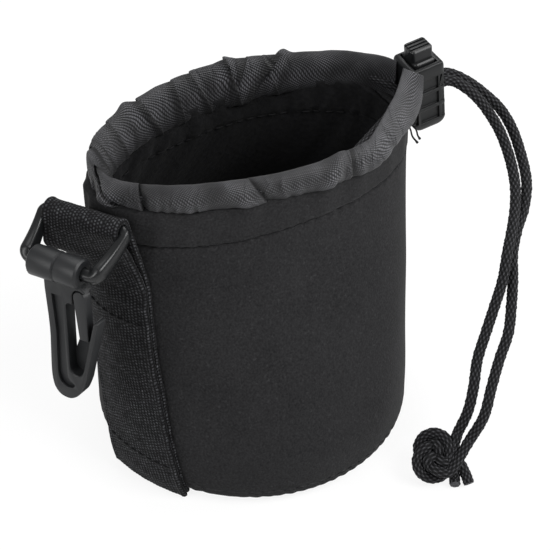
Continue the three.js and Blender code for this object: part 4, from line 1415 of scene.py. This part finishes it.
@dataclass
class StrapRing:
    """The moulded ring: two bars joined by flat bowed arms, in millimetres."""

    spacing: float = 13.6
    bar: float = 3.0
    top: RingCorner = RingCorner(2.5, 3.2, 13.65, 1.3)
    bottom: RingCorner = RingCorner(3.4, 5.0, 12.5, 2.0)
    bow: float = 0.7
    sides: int = 20
    squareness: float = 0.62

    def stations(self) -> Array:
        """Stations round the ring, clockwise from the upper bar's right end.

        Returns:
            Both corners of the right side with the arm between them, the lower bar, the left side
            as a mirror image and the upper bar.
        """
        grow = smooth(np.linspace(0, 1, 13), 0, 1)
        top = self.top.stations(math.pi / 2, self.top.radius, self.bar / 2, grow)
        drop = self.spacing - self.bottom.radius
        bottom = self.bottom.stations(0.0, drop, self.bar / 2, grow[::-1])
        arm = top[-1] + (bottom[0] - top[-1]) * np.linspace(0, 1, 10)[1:-1, None]
        right = np.vstack([top, arm, bottom])
        left = right[::-1] * [-1, 1, -1, 1, 1] + [0, 0, math.pi, 0, 0]
        bars = np.linspace(0, 1, 12)[1:-1, None]
        lower = right[-1] + (left[0] - right[-1]) * bars
        upper = left[-1] + (right[0] - left[-1]) * bars
        lower[:, 2], upper[:, 2] = -math.pi / 2, math.pi / 2
        return np.vstack([right, lower, left, upper])

    def build(self) -> None:
        """Makes the ring: an oval section carried round the frame; its angle turns at each corner."""
        x, y, angle, width, thick = self.stations().T[..., None]
        bow = self.bow * np.sin(math.pi * y / self.spacing) * smooth(np.abs(x), 0, self.top.outer)
        around = circle(self.sides) + math.pi / self.sides
        across = width * superellipse(np.cos(around), self.squareness)
        depth = bow + thick * superellipse(np.sin(around), self.squareness)
        local = joined(x + np.cos(angle) * across, y + np.sin(angle) * across, depth)
        points = np.array(HANG.centre) + local @ HANG.ring_axes()
        ring = grid_mesh("moulded_strap_ring", points, looped=True)
        dress(ring, RING_PLASTIC, "strap_ring", "strap_ring", body=Body.RING)


def moulded(name: str, node: str, bevel_mm: float, finish: Finish, body: Body) -> None:
    """Copies a moulded node with its loose triangles joined and its hard edges rounded.

    Flat regions are merged into single faces, and edges over 28 degrees get a bevel of two steps.

    Args:
        name: The piece's name.
        node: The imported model's node.
        bevel_mm: Width of the rounding.
        finish: Its finish.
        body: What it rides on.
    """
    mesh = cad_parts[node].data.copy()
    mesh.name = name
    work = bmesh.new()
    work.from_mesh(mesh)
    bmesh.ops.remove_doubles(work, verts=work.verts, dist=2e-6)
    bmesh.ops.dissolve_limit(work, angle_limit=math.radians(1.0), verts=work.verts, edges=work.edges)
    work.to_mesh(mesh)
    work.free()
    mesh.polygons.foreach_set("use_smooth", [True] * len(mesh.polygons))
    piece = link(name, mesh)
    bevel = piece.modifiers.new("rounded_edges", "BEVEL")
    bevel.width = bevel_mm * MM
    bevel.segments = 2
    bevel.limit_method = "ANGLE"
    bevel.angle_limit = math.radians(28)
    bevel.harden_normals = True
    bevel.use_clamp_overlap = True
    dress(piece, finish, node, node, body=body)


@dataclass
class SnapHook:
    """The moulded hook and its spring gate."""

    bevel_mm: float = 0.16

    def build(self) -> None:
        """Makes both moulded pieces."""
        moulded("moulded_snap_hook", "hook_body", self.bevel_mm, SATIN_PLASTIC, Body.HOOK)
        moulded("moulded_hook_gate", "hook_gate", self.bevel_mm, SATIN_PLASTIC, Body.GATE)


@dataclass
class CordLock:
    """The sprung cord lock."""

    bevel_mm: float = 0.12

    def build(self) -> None:
        """Makes the body, the button and the finish of the spring."""
        moulded("moulded_lock_body", "lock_body", self.bevel_mm, LOCK_PLASTIC, Body.POUCH)
        moulded("moulded_lock_button", "lock_button", self.bevel_mm, LOCK_PLASTIC, Body.BUTTON)
        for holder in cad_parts["lock_spring"].material_slots:
            holder.material = SPRING_STEEL.material()


# ---- studio ----


def aimed(name: str, data: Any, place: Array, target: Array) -> Piece:
    """Camera or lamp that faces a target.

    Args:
        name: Its name.
        data: The camera or the light.
        place: Where it stands, in metres.
        target: The place it faces, in metres.

    Returns:
        The linked object, turned so that it looks at the target with its top upwards.
    """
    piece = link(name, data)
    piece.location = Vector(place)
    piece.rotation_euler = Vector(target - place).to_track_quat("-Z", "Y").to_euler()
    return piece


@dataclass
class Studio:
    """The camera of the photograph, a pale floor and soft light.

    Lengths in millimetres. Each lamp has its name, its place and side in metres, and its watts.
    """

    centre: Point = (0.0, 0.0, 45.0)
    distance: float = 600.0
    azimuth: float = math.radians(-118)
    elevation: float = math.radians(41.5)
    focal_px: float = 2262.0
    image_px: float = 550.0
    off_right_px: float = 25.5
    off_down_px: float = 11.5
    world_strength: float = 0.42
    floor_strength: float = 0.86
    floor_half: float = 4000.0
    floor_drop: float = 0.2
    lamps: tuple[tuple[str, Point, float, float], ...] = (
        ("key_softbox", (0.4, -0.55, 0.8), 0.5, 8.5),
        ("right_softbox", (0.9, -0.25, 0.42), 0.4, 4.7),
        ("side_softbox", (-0.75, -0.1, 0.55), 0.45, 4.0),
        ("top_softbox", (0.2, 0.5, 0.9), 0.6, 4.0),
    )

    def camera(self) -> None:
        """Places the camera so that the pouch's centre lies where the photograph has it."""
        e, a = self.elevation, self.azimuth
        back = np.array([math.cos(e) * math.cos(a), math.cos(e) * math.sin(a), math.sin(e)])
        right = unit(np.cross(UP, back))
        centre, scale = np.array(self.centre), self.distance / self.focal_px
        aim = centre + (right * self.off_right_px - np.cross(back, right) * self.off_down_px) * scale
        data = bpy.data.cameras.new("photograph_camera")
        data.lens = data.sensor_width * self.focal_px / self.image_px
        data.clip_start, data.clip_end = 0.01, 20
        place = centre + back * self.distance
        bpy.context.scene.camera = aimed("photograph_camera", data, place * MM, aim * MM)

    def floor(self) -> None:
        """Lays the white floor: bright to the camera and to reflections, and it keeps a soft shadow."""
        corners = np.array([[-1, -1, 0], [1, -1, 0], [1, 1, 0], [-1, 1, 0]]) * self.floor_half
        mesh = new_mesh("studio_floor", corners, [[0, 1, 2, 3]])
        floor = link("studio_floor", mesh)
        floor.location.z = -self.floor_drop * MM
        material = bpy.data.materials.new("white_paper")
        tree = empty_tree(material)
        ray = add_node(tree, "LightPath").outputs
        camera, glossy, through = (
            Signal(tree, ray[f"Is {kind} Ray"]) for kind in ("Camera", "Glossy", "Transmission")
        )
        share = camera.math("MAXIMUM", glossy).math("MAXIMUM", through) * self.floor_strength
        paper = add_node(tree, "BsdfDiffuse", {"Color": linear("f0f0f0")})
        glow = add_node(tree, "Emission", {"Color": (1, 1, 1, 1), "Strength": 1.0})
        mix = add_node(tree, "MixShader", {0: share, 1: paper.outputs[0], 2: glow.outputs[0]})
        add_node(tree, "OutputMaterial", {0: mix.outputs[0]})
        mesh.materials.append(material)

    def world(self) -> None:
        """Surrounds the scene with white that lights it softly."""
        world = bpy.data.worlds.new("studio_world")
        bpy.context.scene.world = world
        tree = empty_tree(world)
        lit, seen = (
            add_node(tree, "Background", {"Color": (1, 1, 1, 1), "Strength": strength}).outputs[0]
            for strength in (self.world_strength, 1.0)
        )
        ray = add_node(tree, "LightPath").outputs["Is Camera Ray"]
        mix = add_node(tree, "MixShader", {0: ray, 1: lit, 2: seen})
        add_node(tree, "OutputWorld", {0: mix.outputs[0]})

    def build(self) -> None:
        """Makes the floor, the world and the soft boxes, which face the pouch."""
        self.floor()
        self.world()
        for name, place, size, watts in self.lamps:
            data = bpy.data.lights.new(name, "AREA")
            data.size, data.energy = size, watts
            aimed(name, data, np.array(place), np.array([0, 0, 0.05]))
        bpy.context.scene.view_settings.view_transform = "Standard"


def main() -> None:
    """Builds the scene in order: camera, cords, the pouch, its hardware and the studio."""
    logging.basicConfig(level=logging.INFO, format="%(name)s: %(message)s")
    studio = Studio()
    studio.camera()
    steps: list[tuple[str, Callable[[], None]]] = [
        ("drawstring", Drawstring().build),
        ("pouch shell", PouchShell().build),
        ("collar", TwillCollar().build),
        ("strap", WebbingStrap().build),
        ("ring", StrapRing().build),
        ("snap hook", SnapHook().build),
        ("cord lock", CordLock().build),
        ("studio", studio.build),
    ]
    for name, build in steps:
        build()
        log.info("%s is built", name)


if __name__ == "__main__":
    main()
